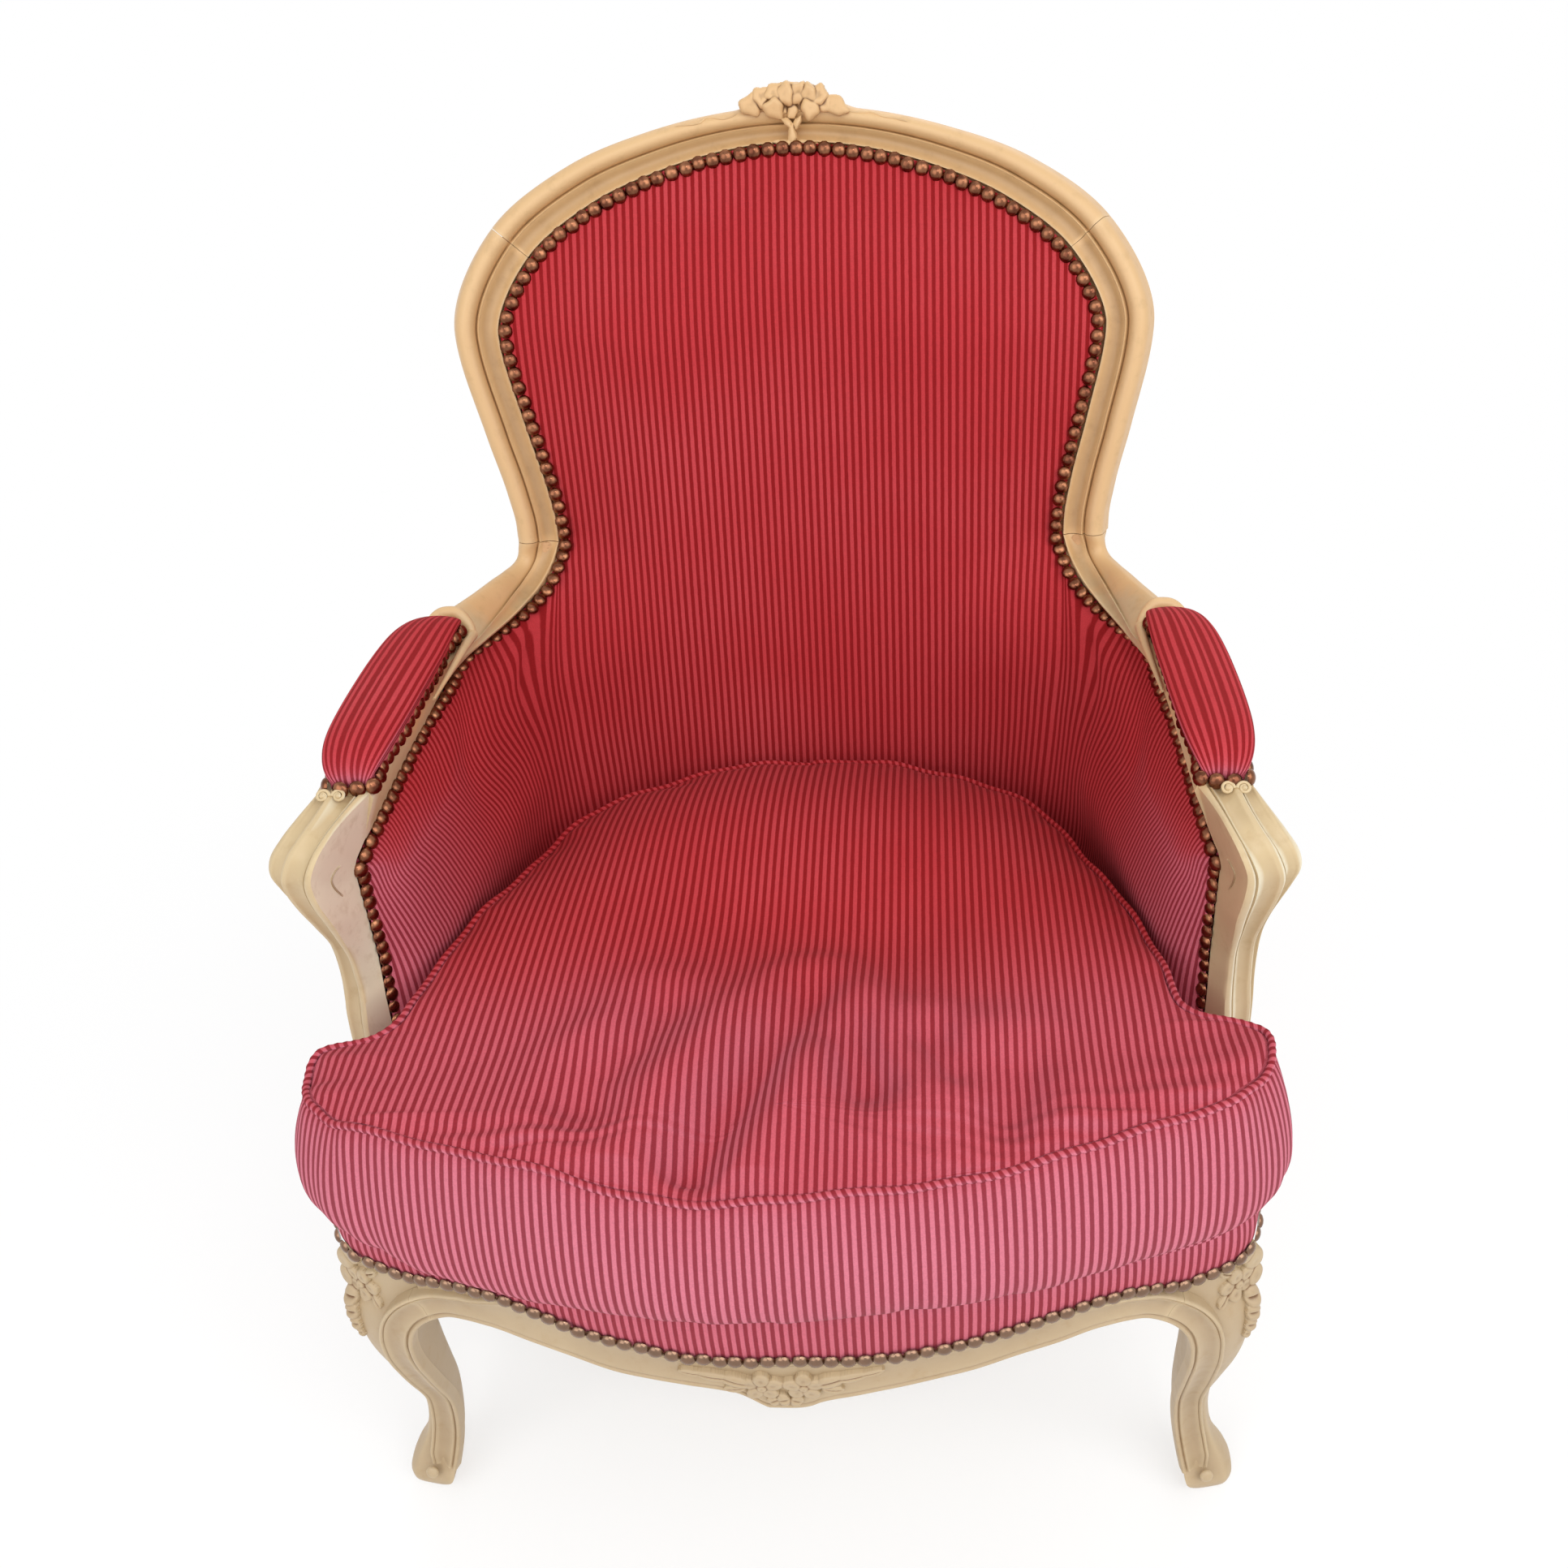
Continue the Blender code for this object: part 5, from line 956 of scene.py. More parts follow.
def railBody():
    x = np.linspace(-.2752, .2752, 121)
    low, hem = railLow(x), nailZ(x) - .0045
    y = frontY(x)
    rows = [(y + .036, low + .003), (y + .0045, low + .001), (y + .0035, low + .004), (y + .0045, hem),
            (y + .006, hem + .001), (y + .006, np.maximum(.3440, hem + .002)), (y + .038, np.full_like(x, .3440))]
    spots = np.stack([np.stack([x, ry, rz], 1) for ry, rz in rows], 1)
    return gridPiece('railBody', wrapped(spots), closed=True, capped=True)


railPetals = flowerPetals(-.0222, .2795, .0156, .0048) + flowerPetals(.0080, .2800, .0156, .0048, 90) + [
    (-.0075, .2620, .0050, .0080, 12, .0036, -.4), (.0020, .2610, .0050, .0075, -20, .0034, -.4),
    (-.0150, .2600, .0050, .0060, 30, .0030, -.4),
    (-.0410, .2860, .0115, .0068, -20, .0046, -.5), (-.0565, .2900, .0125, .0054, -10, .0038, -.5),
    (-.0715, .2925, .0105, .0036, -6, .0030, -.5),
    (-.0420, .2755, .0085, .0046, 8, .0034, -.5), (.0270, .2865, .0115, .0068, 20, .0046, -.5),
    (.0420, .2905, .0125, .0054, 12, .0038, -.5),
    (.0565, .2945, .0105, .0036, 14, .0030, -.5), (.0290, .2755, .0085, .0046, -8, .0034, -.5)]


def railCarving():  # pair of flowers with leaves trailing off along the rail
    x, z = np.meshgrid(np.linspace(-.084, .070, 309), np.linspace(.252, .302, 101))
    return relief('railFlowers', np.stack([x, frontY(x) + .0008, z], -1), frontFace(x), carve(x, z, railPetals), .007)


frontRail = joined('frontRail', [railBody(), railBand(), railCarving()])


def softRing(corners, count):  # polygon with its corners cut round
    ring = np.asarray(corners, float)
    for _ in range(3):
        after = np.roll(ring, -1, 0)
        ring = np.stack([ring * .78 + after * .22, ring * .22 + after * .78], 1).reshape(-1, 2)
    return evenly(np.concatenate([ring, ring[:1]]), count=count + 1)[:-1]


def legBody():
    heights = np.concatenate([np.linspace(0, .06, 22), np.linspace(.066, .350, 56)])
    rings, count = [], 60
    for z in heights:
        inner, lip, outer, front, back = (float(legSide[k](z)) for k in ('inner', 'lip', 'outer', 'front', 'back'))
        cut = min(.007, (outer - lip) * .6)
        first = front + .0036 * float(ease((z - .020) / .014))
        slant = first + frontBow['legTurn'] * (lip - inner)
        side = slant + .6 * (outer - cut - lip)
        ring = softRing([(inner + .0005, first + .001), (inner + .002, first), (lip, slant), (outer - cut, side),
                         (outer, side + .008), (outer, back - .008), (outer - .008, back), (inner + .007, back),
                         (inner + .0005, back - .008)], count)
        rings.append(np.concatenate([ring, np.full((count, 1), z)], 1))
    rings = np.array(rings)
    toe = (np.clip(1 - rings[:, :, 2] / .026, 0, 1) ** 2)[..., None]  # rounded under the toe
    centre = rings.mean(1, keepdims=True)
    rings[..., :2] += (centre - rings)[..., :2] * .52 * toe
    return gridPiece('legBody', wrapped(rings), closed=True, capped=True)


def legBand():
    places = np.linspace(railEnd + .0001, bandLine.end, 170)
    return sweep('legBand', *bandFrame(places), bandSection(bandWidth(places)[:, 0]))


kneePetals = flowerPetals(.0205, .3075, .0156, .0064, 40) + [
    (.0335, .3240, .0088, .0098, 10, .0066, .20), (.0365, .3060, .0075, .0095, -8, .0062, .20),
    (.0255, .3320, .0088, .0068, 20, .0054, .15),
    (.0315, .2900, .0072, .0110, -10, .0074, -.5), (.0275, .2760, .0064, .0105, -14, .0066, -.5),
    (.0232, .2630, .0054, .0090, -14, .0056, -.5),
    (.0200, .2530, .0040, .0072, -10, .0042, -.5), (.0075, .2960, .0070, .0036, 40, .0040, -.5),
    (.0080, .3230, .0070, .0038, -35, .0040, -.5)]


kneeWay = dict(along=.857, back=.514)  # the knee's outer face, seen from above


def kneeCarving():  # flower on the outer corner of the knee, leaves below it, button on the toe
    u, z = np.meshgrid(np.linspace(-.004, .044, 97), np.linspace(.245, .344, 199))  # u runs out from the moulded band
    inner, lip, front = (legSide[k](z) for k in ('inner', 'lip', 'front'))
    y = front + .0040 + frontBow['legTurn'] * (lip - inner) + kneeWay['back'] * u
    spots = np.stack([lip + kneeWay['along'] * u, y, z], -1)
    normals = np.broadcast_to(unit((kneeWay['back'], -kneeWay['along'], 0)), spots.shape)
    button = laid(lobe(.0115, .0115, .0066), (.3320, -.2935, .0315), (.14, -.92, .38))
    return [relief('kneeFlower', spots, normals, carve(u, z, kneePetals), .009), button]


rightFrontLeg = joined('rightFrontLeg', [legBody(), legBand()] + kneeCarving())
print('front rail and legs swept')

sideRailX = valueBy((-.2262, -.10, 0, .09, .1496), (.309, .303, .285, .252, .2275))


def sideRailPiece():
    y = np.linspace(-.2260, .1490, 70)
    x = sideRailX(y)
    out = unit(np.stack([np.ones_like(y), -np.gradient(x, y), np.zeros_like(y)], 1))
    ring = [(-.019, -.0005), (-.019, -.0578), (-.017, -.0605), (.0150, -.0605), (.0182, -.0590), (.019, -.0560),
            (.0182, -.0530), (.0168, -.0516), (.0160, -.0500), (.0158, -.0350), (.0168, -.0300), (.019, -.0280),
            (.019, -.0160), (.0180, -.0140), (.014, -.0138), (.014, -.0005)]
    return sweep('rightSideRail', np.stack([x, y, np.full_like(y, .3468)], 1), out,
                 np.broadcast_to((0.0, 0, 1), out.shape), ring)


rightSideRail = sideRailPiece()

finishPiece(topRail, paint, 'painted_beech', 'top_rail')
finishPiece(frontRail, paint, 'painted_beech', 'front_rail')
for piece, stem in ((rightPost, 'back_post'), (rightSupport, 'arm_support'),
                    (rightFrontLeg, 'front_leg'), (rightSideRail, 'side_rail')):
    camel = ''.join(word.capitalize() for word in stem.split('_'))
    finishPiece(otherSide(piece, 'left' + camel), paint, 'painted_beech', 'left_' + stem)
    finishPiece(piece, paint, 'painted_beech', 'right_' + stem)
finishPiece(leftArm, paint, 'painted_beech', 'left_arm')
finishPiece(rightArm, paint, 'painted_beech', 'right_arm')

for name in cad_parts:  # hidden rails, blocks and dowels keep their CAD shape
    if any(word in name for word in ('block', 'dowel', 'back_seat_rail', 'lower_back_rail')):
        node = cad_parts[name]
        node.data.materials.clear()
        node.data.materials.append(beech)
print('wood finished')


# inside cloth: one piece over the back and round both arms
insideLevels = [  # share of the height, then x, y, z of each column from the middle of the back to the arm support
    (0, [(0, .143, .386), (.065, .1405, .386), (.12, .133, .386), (.165, .117, .386), (.200, .090, .386),
         (.224, .055, .386), (.240, .010, .386), (.2525, -.04, .386), (.260, -.09, .386), (.268, -.130, .386),
         (.279, -.156, .386), (.2945, -.1735, .386)]),
    (.25, [(0, .157, .445), (.065, .1545, .445), (.12, .1475, .445), (.166, .134, .445), (.205, .108, .445),
           (.233, .069, .443), (.249, .015, .442), (.260, -.04, .441), (.268, -.09, .441), (.276, -.127, .441),
           (.284, -.148, .441), (.3010, -.1655, .441)]),
    (.55, [(0, .176, .52), (.065, .173, .52), (.12, .1655, .52), (.168, .152, .52), (.210, .128, .519),
           (.242, .086, .511), (.260, .02, .508), (.270, -.04, .507), (.277, -.085, .506), (.284, -.118, .504),
           (.292, -.136, .502), (.3025, -.1500, .500)]),
    (.80, [(0, .191, .585), (.065, .188, .585), (.12, .181, .585), (.168, .171, .585), (.2125, .153, .580),
           (.249, .108, .567), (.270, .03, .563), (.279, -.04, .562), (.2835, -.085, .562), (.288, -.118, .561),
           (.2955, -.134, .560), (.3018, -.1460, .558)]),
    (1, [(0, .2058, .645), (.065, .203, .645), (.12, .1985, .645), (.17, .207, .645), (.2125, .2135, .643),
         (.236, .180, .611), (.2725, .1100, .606), (.2885, .02, .6085), (.2920, -.04, .6075), (.2945, -.088, .6055),
         (.2970, -.121, .602), (.3015, -.1405, .593)])]
insideRows, insideColumns, waistColumn = 54, 117, 44


def insideLower():
    shares = [share for share, _ in insideLevels]
    net = np.array([row for _, row in insideLevels])
    rise = np.linspace(0, 1, insideRows)
    columns = np.stack([curveThrough(net[:, k], shares)(rise) for k in range(net.shape[1])], 1)
    run = lengths(columns[insideRows // 2])
    places = np.concatenate([np.linspace(0, run[4], waistColumn + 1),
                             np.linspace(run[4], run[-1], insideColumns - waistColumn)[1:]])
    rows = []
    for row in columns:
        both = np.concatenate([mirrored(row[3:0:-1]), row])
        knots = np.concatenate([-run[3:0:-1], run])
        rows.append(curveThrough(both, knots)(places))
    return np.array(rows), places, run[4]


lower, lowerRun, cornerRun = insideLower()


def armLip(y):  # inner edge of the arm wood at a depth, and the way from it onto the cloth
    t = np.interp(-y, -armMiddle(armT)[:, 1], armT)
    middle, out, up = armFrames(t)
    profile, share = armProfile(t), ease(t / .45)[:, None]
    flat = profile[:, -3] * (1 - share) + profile[:, -2] * share
    way = unit(-out * (1 - share) + np.array((0, 0, -1.0)) * share)
    return middle + out * (flat[:, :1] - .0010) + up * flat[:, 1:], way


def underArm(net):  # top edge of the sides follows the arm
    top = net[-1, waistColumn:]
    gap = (armLip(top[:, 1])[0] - top) * ease((top[:, 1] - .02) / .06)[:, None]
    before = gap[:1] * ease((np.arange(waistColumn) - waistColumn + 14) / 14)[:, None]
    rise = np.linspace(0, 1, len(net))[:, None, None] ** 2.5
    return net + np.concatenate([before, gap])[None] * rise


lower = underArm(lower)


def swollen(net):  # padding of the sides stands up from its nailed edges
    edge = np.concatenate([net[-1, waistColumn:], net[::2, -1]])
    away = np.min(np.linalg.norm(net[:, :, None] - edge[None, None], axis=3), axis=2)
    share = ease((np.arange(insideColumns) - waistColumn) / 16)[None] * ease((net[..., 2] - .43) / .07)
    return net + normalOf(net) * (.0125 * (1 - np.exp(-(away / .017) ** 1.3)) * share)[..., None]


lower = swollen(lower)
armRun = np.maximum(lowerRun - cornerRun, 0)
lowerAcross = np.interp(lowerRun, lowerRun[:waistColumn + 1], lower[-1, :waistColumn + 1, 0])
lowerAcross = lowerAcross + armRun + .30 * np.maximum(armRun - .05, 0)

edgeS = np.linspace(0, waistS, 200)
point, along, inwards, face = outlineFrame(edgeS)
backEdge = (point + inwards * (mouldWidth(edgeS)[:, None] + .0008))[:, [0, 2]]
turnAt = int(np.argmin(np.abs(edgeS - shoulderS)))


def fullness(x, z):  # padding swells away from its nailed edge
    edge = np.concatenate([backEdge[::-1] * (-1, 1), backEdge[1:]])
    spots = np.stack([np.ravel(x), np.ravel(z)], 1)
    away = np.min(np.linalg.norm(spots[:, None] - edge[None], axis=2), axis=1).reshape(np.shape(x))
    return .0035 + .0375 * ease(away / .125) ** .72


def insideUpper(rows=64):
    half = waistColumn
    count = 2 * half + 1
    seam = np.concatenate([mirrored(lower[-1, half:0:-1]), lower[-1, :half + 1]])
    bottom = seam[:, [0, 2]]
    arch = evenly(np.concatenate([backEdge[turnAt:0:-1] * (-1, 1), backEdge[:turnAt + 1]]), count=count)
    right = evenly(backEdge[turnAt:][::-1], count=rows)
    right[0] = bottom[-1]
    flat = patch(bottom, arch, right * (-1, 1), right)
    spots = onBack(flat[..., 0], flat[..., 1], fullness(flat[..., 0], flat[..., 1]))[0]
    spots += (seam - spots[0])[None] * ((1 - np.linspace(0, 1, rows)) ** 3)[:, None, None]
    return spots


upper = insideUpper()
lowerWhole = np.concatenate([mirrored(lower[:, :0:-1]), lower], 1)
reach = .060 - .030 * ease((lowerRun - lowerRun[-1] + .06) / .06)
lean = 1.2 * reach * ease((np.arange(insideColumns) - waistColumn) / 26)
drop = np.maximum(lower[-1:, :, 2] - lower[..., 2], 0)
slant = lowerAcross - lean * np.exp(-drop / reach)  # stripes leave the arm square to its nails
lowerUv = np.stack([np.concatenate([-slant[:, :0:-1], slant], 1), lowerWhole[..., 2]], -1)
upperUv = np.stack([upper[..., 0], upper[..., 2]], -1)
lowerPiece = gridPiece('insideLower', lowerWhole, lowerUv)
upperPiece = gridPiece('insideUpper', upper, upperUv)
insideCloth = joined('insideCloth', [upperPiece, lowerPiece])
active(insideCloth)
bpy.ops.object.mode_set(mode='EDIT')
bpy.ops.mesh.select_all(action='SELECT')
bpy.ops.mesh.remove_doubles(threshold=.0002)
bpy.ops.object.mode_set(mode='OBJECT')
bpy.ops.object.shade_smooth()
finishPiece(insideCloth, cloth, 'striped_cotton', 'inside_back_pad', 'left_inside_arm_pad', 'right_inside_arm_pad')
print('inside cloth laid')


# arm pads
armPad = dict(back=.082, front=-.1245, crown=.0285, overhang=.0115)
padHalf = valueBy((-.1245, -.10, -.06, -.01, .04, .082), (.0148, .0172, .0190, .0194, .0172, .0118))


def armPadMiddle(y):
    armY = armMiddle(armT)[:, 1]
    spot = armMiddle(np.interp(-y, -armY, armT))
    return spot[:, 0] - .0012, spot[:, 2] + armBar['halfHeight'] + .0006


def armPadPiece():
    share = np.sin(np.linspace(-pi / 2, pi / 2, 61))
    y = (armPad['back'] + armPad['front']) / 2 - share * (armPad['back'] - armPad['front']) / 2
    x, base = armPadMiddle(y)
    full = (1 - np.abs(share) ** 5) ** .42
    half = padHalf(y) - .0012
    turn = np.linspace(0, pi, 33)
    across = np.sign(np.cos(turn)) * np.abs(np.cos(turn)) ** .62
    rise = np.sin(turn) ** .80
    rows, uvs = [], []
    arc = (turn - pi / 2) / pi * .118
    for k in range(len(y)):
        bulge = armPad['overhang'] * full[k] * np.sin(turn * 2) ** 2 * (np.abs(np.cos(turn)) > .25)
        over = x[k] + across * half[k] + np.sign(np.cos(turn)) * bulge
        top = base[k] + .0025 + (armPad['crown'] - .0025) * full[k] * rise
        rows.append(np.stack([np.concatenate([[over[0]], over, [over[-1]]]), np.full(35, y[k]),
                              np.concatenate([[base[k]], top, [base[k]]])], 1))
        uvs.append(np.stack([np.concatenate([[arc[0] - .002], arc, [arc[-1] + .002]]), np.full(35, y[k])], 1))
    rows, uvs = np.array(rows), np.array(uvs)
    return gridPiece('rightArmPad', wrapped(rows), np.concatenate([uvs, uvs[:, -1:]], 1), closed=True, capped=True)


rightArmPad = armPadPiece()
for piece, side in ((copied(rightArmPad, 'leftArmPad', leftPadMove), 'left'), (rightArmPad, 'right')):
    finishPiece(piece, cloth, 'striped_cotton', side + '_arm_pad')
print('arm pads made')


# seat: cloth drawn over the deck and down to the nails on the rails
seat = dict(top=.384, inset=.0065)


def deckRing(lip):  # outline of the seat inside its rails, a lip behind the front edge
    rear = [(x, float(backLine(.345) - x * x / (2 * backShape['planRadius'])) - seat['inset'])
            for x in np.linspace(0, .19, 9)]
    side = [(float(sideRailX(y)) - seat['inset'], y) for y in np.linspace(.105, -.145, 9)]
    ear = [(.2835, -.170), (.2835, -.2195), (.300, -.2225), (.326, -.2245), (.3325, -.232), (.3335, -.262), (.325, -.280)]
    front = [(x, float(frontY(x)) + lip) for x in np.linspace(.305, 0, 14)]
    return bothSides(np.array(rear + side + ear + front))


def frontBorder():  # hangs from the deck over the rail and the top of the legs
    ear = np.array([(.291, -.2215), (.302, -.2235), (.318, -.2255), (.331, -.232), (.3365, -.246), (.3365, -.262),
                    (.331, -.278)])
    front = np.stack([np.linspace(.318, 0, 40), frontY(np.linspace(.318, 0, 40)) + .0010], 1)
    half = evenly(np.concatenate([ear, front]), count=90)
    line = np.concatenate([half, half[-2::-1] * (-1, 1)])
    run = lengths(line)
    along = unit(np.gradient(line, axis=0))
    outward = np.stack([-along[:, 1], along[:, 0]], 1)
    outward *= np.sign(outward[len(line) // 2, 1] * -1)
    low = nailZ(line[:, 0]) - .0040
    side = np.abs(line[:, 0]) > .3
    low = np.where(side & (line[:, 1] > -.276), np.maximum(low, .340), low)
    rows = []
    for v in np.linspace(0, 1, 15):
        z = low + (seat['top'] + .002 - low) * v
        swell = .0005 + .0030 * math.sin(pi * min(v * 1.05, 1)) ** .8 - .0045 * v - .004 * max(0, v - .85) / .15
        rows.append(np.concatenate([line + outward * swell, z[:, None]], 1))
    rows = np.array(rows)
    uv = np.stack(np.broadcast_arrays(run[None] - run[-1] / 2, rows[..., 2]), -1)
    return rows, uv, outward


borderSpots, borderUv, borderOut = frontBorder()
border = gridPiece('seatBorder', borderSpots, borderUv)


def deckPiece():
    ring, centre = deckRing(.006), np.array((0, -.2))
    rows = []
    for share in (1.0, .8, .55, .3, .1, .004):
        level = np.full((len(ring), 1), seat['top'] - .0002 - .004 * (share > .9))
        rows.append(np.concatenate([centre + (ring - centre) * share, level], 1))
    rows = wrapped(np.array(rows))
    return gridPiece('seatDeck', rows, np.stack([rows[..., 0], rows[..., 1]], -1), closed=True, capped=True)


seatCover = joined('seatCover', [deckPiece(), border])
finishPiece(seatCover, cloth, 'striped_cotton', 'seat_cover', 'seat_stuffing')
print('seat covered')


# loose cushion
cushion = dict(low=.3868, high=.4703, bulge=.0115, frontBulge=.0170, crown=.026, inset=.008, frontInset=.012, cord=.0026,
               dent=1.9, dentRim=.40)
seamFront = valueBy((-.34, -.30, -.27, -.24, -.2, -.16, -.12, -.08, -.04, 0, .04, .08, .12, .16, .2, .24, .27, .30, .34),
                    (.497, .502, .507, .5105, .509, .5070, .4960, .4890, .4860, .4895, .4945, .4975, .4962, .4995,
                    .5090, .5150, .5145, .5135,
                     .512))  # top seam along the front edge
droop = valueBy((-.34, -.30, -.27, -.24, -.2, -.12, -.04, 0, .04, .08, .12, .16, .2, .24, .27, .34),
                (-.006, -.0055, .0033, .0087, .0135, .0135, .0121, .0110, .0069, .0044, .0033, .0, -.0037, -.0061,
                -.0091, -.0100))


def cushionLine():
    knots = [(0, .140), (.08, .134), (.135, .112), (.204, .058), (.240, -.030), (.260, -.090), (.274, -.165)]
    rear = curveThrough(knots)
    rear = rear(np.linspace(0, rear.end, 90))
    ear = [(.2775, -.2060), (.288, -.2155), (.318, -.2185), (.332, -.2235), (.338, -.238), (.336, -.262), (.326, -.281)]
    front = np.stack([np.linspace(.300, 0, 30), frontY(np.linspace(.300, 0, 30)) - .006], 1)
    ring = bothSides(np.concatenate([rear, ear, front]))
    ring = evenly(np.concatenate([ring, ring[:1]]), count=481)[:-1]
    for _ in range(3):
        ring = (np.roll(ring, 1, 0) + 2 * ring + np.roll(ring, -1, 0)) / 4
    ring[[0, 240], 0] = 0
    ring[241:] = ring[239:0:-1] * (-1, 1)
    return ring


cushionRing = cushionLine()
cushionWay = unit(np.roll(cushionRing, -1, 0) - np.roll(cushionRing, 1, 0))
cushionOut = np.stack([-cushionWay[:, 1], cushionWay[:, 0]], 1)
cushionOut *= np.sign((cushionOut * (cushionRing - (0, -.1))).sum(1).mean())
cushionRun = lengths(np.concatenate([cushionRing, cushionRing[:1]]))
atFront = ease((-.205 - cushionRing[:, 1]) / .06)
sag = droop(cushionRing[:, 0]) * atFront
seamHigh = cushion['high'] + .012 * cushionRing[:, 0]
seamHigh = seamHigh + .0016 * np.sin(cushionRun[:-1] * 41) + .0012 * np.sin(cushionRun[:-1] * 97 + 1)
seamHigh = seamHigh + (seamFront(cushionRing[:, 0]) - cushion['high']) * ease((.06 - cushionRing[:, 1]) / .31)
seamLow = cushion['low'] + .0055 - sag

hollowSpots = [  # where it has been sat on: line of points, depth, reach
    ([(.018, -.185), (-.022, -.262), (-.055, -.325)], .0095, .017), ([(.041, -.225), (.060, -.270)], .0075, .017),
    ([(.157, -.262), (.150, -.30)], .0065, .018), ([(-.122, -.262), (-.128, -.285)], .0055, .018), ([(-.03, -.10),
    (.07, -.11)], .0075, .060),
    ([(.10, -.235), (.118, -.262)], .0055, .014), ([(-.085, -.20), (-.10, -.235)], .0050, .016)]


def dents(x, y):
    total = np.zeros_like(x)
    for line, depth, reach in hollowSpots:
        away = np.full(x.shape, 9.0)
        for (ax, ay), (bx, by) in zip(line, line[1:]):
            along = np.clip(((x - ax) * (bx - ax) + (y - ay) * (by - ay)) / ((bx - ax) ** 2 + (by - ay) ** 2), 0, 1)
            away = np.minimum(away, np.hypot(x - ax - along * (bx - ax), y - ay - along * (by - ay)))
        rim = cushion['dentRim'] * np.exp(-(away / reach - 2.2) ** 2)
        total += cushion['dent'] * depth * (np.exp(-(away / reach) ** 2) - rim)
    return total


def puckers(run, seed, count=110, narrow=.005, broad=.014):  # gathers running in from the seam
    places = np.random.default_rng(seed)
    total = np.zeros_like(run)
    for _ in range(count):
        size, at, wide = places.uniform(-1, 1), places.uniform(0, cushionRun[-1]), places.uniform(narrow, broad)
        total += size * np.exp(-((run - at) / wide) ** 2)
    return np.clip(total, -1.6, 1.6)


# how deep the rows of cloth from an edge run in, by the depth of the edge
cushionHeart = valueBy((-.37, -.238, -.2235, -.2185, -.2155, -.206, -.165, -.09, -.03, .058, .15),
                       (-.292, -.292, -.288, -.270, -.225, -.165, -.120, -.085, -.060, -.030, 0))


def cushionPiece():
    ring, outward = cushionRing, cushionOut
    heart = np.stack([np.zeros(len(ring)), cushionHeart(ring[:, 1])], 1)
    gathers = puckers(cushionRun[:-1], 5)
    deeper = puckers(cushionRun[:-1], 9)
    folds = puckers(cushionRun[:-1], 21, 60, .012, .026) * atFront  # broad ones behind the front seam
    inset = cushion['inset'] + (cushion['frontInset'] - cushion['inset']) * atFront
    rows, uvs = [], []

    def row(spots, z, flat):
        rows.append(np.concatenate([spots, np.broadcast_to(z, len(ring))[:, None]], 1))
        uvs.append(flat)

    for share in np.linspace(0, .93, 14):  # underside, flat on the seat
        spots = heart + (ring - outward * .012 - heart) * share
        row(spots, cushion['low'], spots)
    for offset, part in ((-.0090, .0), (-.0085, .12), (-.0080, .5)):
        spots = ring + outward * (offset + (-.0008 - offset) * atFront)[:, None]
        row(spots, cushion['low'] + (seamLow - cushion['low']) * part - .0015 * atFront * (part < .2), spots)
    lowOut = -.008 + (.0005 + .008) * atFront
    low = .82 - .20 * atFront  # the front is fullest near its lower edge
    bulge = cushion['bulge'] + (cushion['frontBulge'] - cushion['bulge']) * atFront
    for v in np.linspace(0, 1, 23):  # boxing
        swell = bulge * np.sin(pi * v ** low) ** (.75 - .13 * atFront)
        edge = lowOut * (1 - v) - inset * v
        crease = .0019 * gathers * math.exp(-((1 - v) / .22) ** 2) + .0012 * deeper * math.exp(-(v / .25) ** 2)
        crease = crease + .0009 * deeper * atFront
        z = seamLow + (seamHigh - seamLow) * v
        row(ring + outward * (edge + swell + crease)[:, None], z, np.stack([cushionRun[:-1], z], 1))
    seamEdge = ring - outward * inset[:, None]
    for share in np.concatenate([[.992, .982, .968, .95, .925], np.linspace(.9, 0, 44)]):  # top, crowned
        spots = heart + (seamEdge - heart) * share
        gap = np.linalg.norm(spots[:, None] - seamEdge[None], axis=2)
        away, pull = gap.min(1), 1 / np.maximum(gap, .0004) ** 3
        seam = (pull * seamHigh).sum(1) / pull.sum(1)
        level = cushion['high'] + .006 + .014 * spots[:, 0]
        rise = cushion['crown'] * (1 - (1 - np.clip(away / .20, 0, 1)) ** 3.2) ** .72
        z = level + (seam - level) * np.exp(-(away / .085) ** 1.3) + rise
        z = z + .0022 * gathers * np.exp(-(away / .020) ** 2) * (1 - np.exp(-(away / .005) ** 2))
        z = z + .0042 * folds * np.exp(-(away / .034) ** 2) * (1 - np.exp(-(away / .008) ** 2))
        row(spots, z - dents(spots[:, 0], spots[:, 1]) * np.clip(away / .015, 0, 1), spots)
    return np.array(rows), np.array(uvs)


cushionRows, cushionUvs = cushionPiece()
cushionBody = gridPiece('looseCushion', wrapped(cushionRows), wrapped(cushionUvs), closed=True)
finishPiece(cushionBody, cloth, 'striped_cotton', 'seat_cushion', body='cushion')


def pipingPiece(name, out, z):
    line = np.concatenate([cushionRing + cushionOut * out[:, None], z[:, None]], 1)
    line = evenly(np.concatenate([line, line[:1]]), step=.0016)[:-1]
    sides, ups = frames(line, loop=True)
    turn = np.linspace(0, 2 * pi, 13)
    lay = np.arange(len(line)) * .0016
    beads = 1 + .10 * np.sin(lay / stripes['pitch'] * 2 * pi)[:, None]  # wound cord, thicker and thinner
    ring = np.stack([np.cos(turn), np.sin(turn)], 1) * cushion['cord']
    spots = line[:, None] + (sides[:, None] * ring[None, :, :1] + ups[:, None] * ring[None, :, 1:]) * beads[..., None]
    spots = np.concatenate([spots, spots[:1]])
    run = np.arange(len(spots)) * .0016
    uv = np.stack(np.broadcast_arrays(run[:, None] + turn[None] / (2 * pi) * stripes['pitch'], turn[None] * .003), -1)
    return gridPiece(name, spots, uv, closed=True)


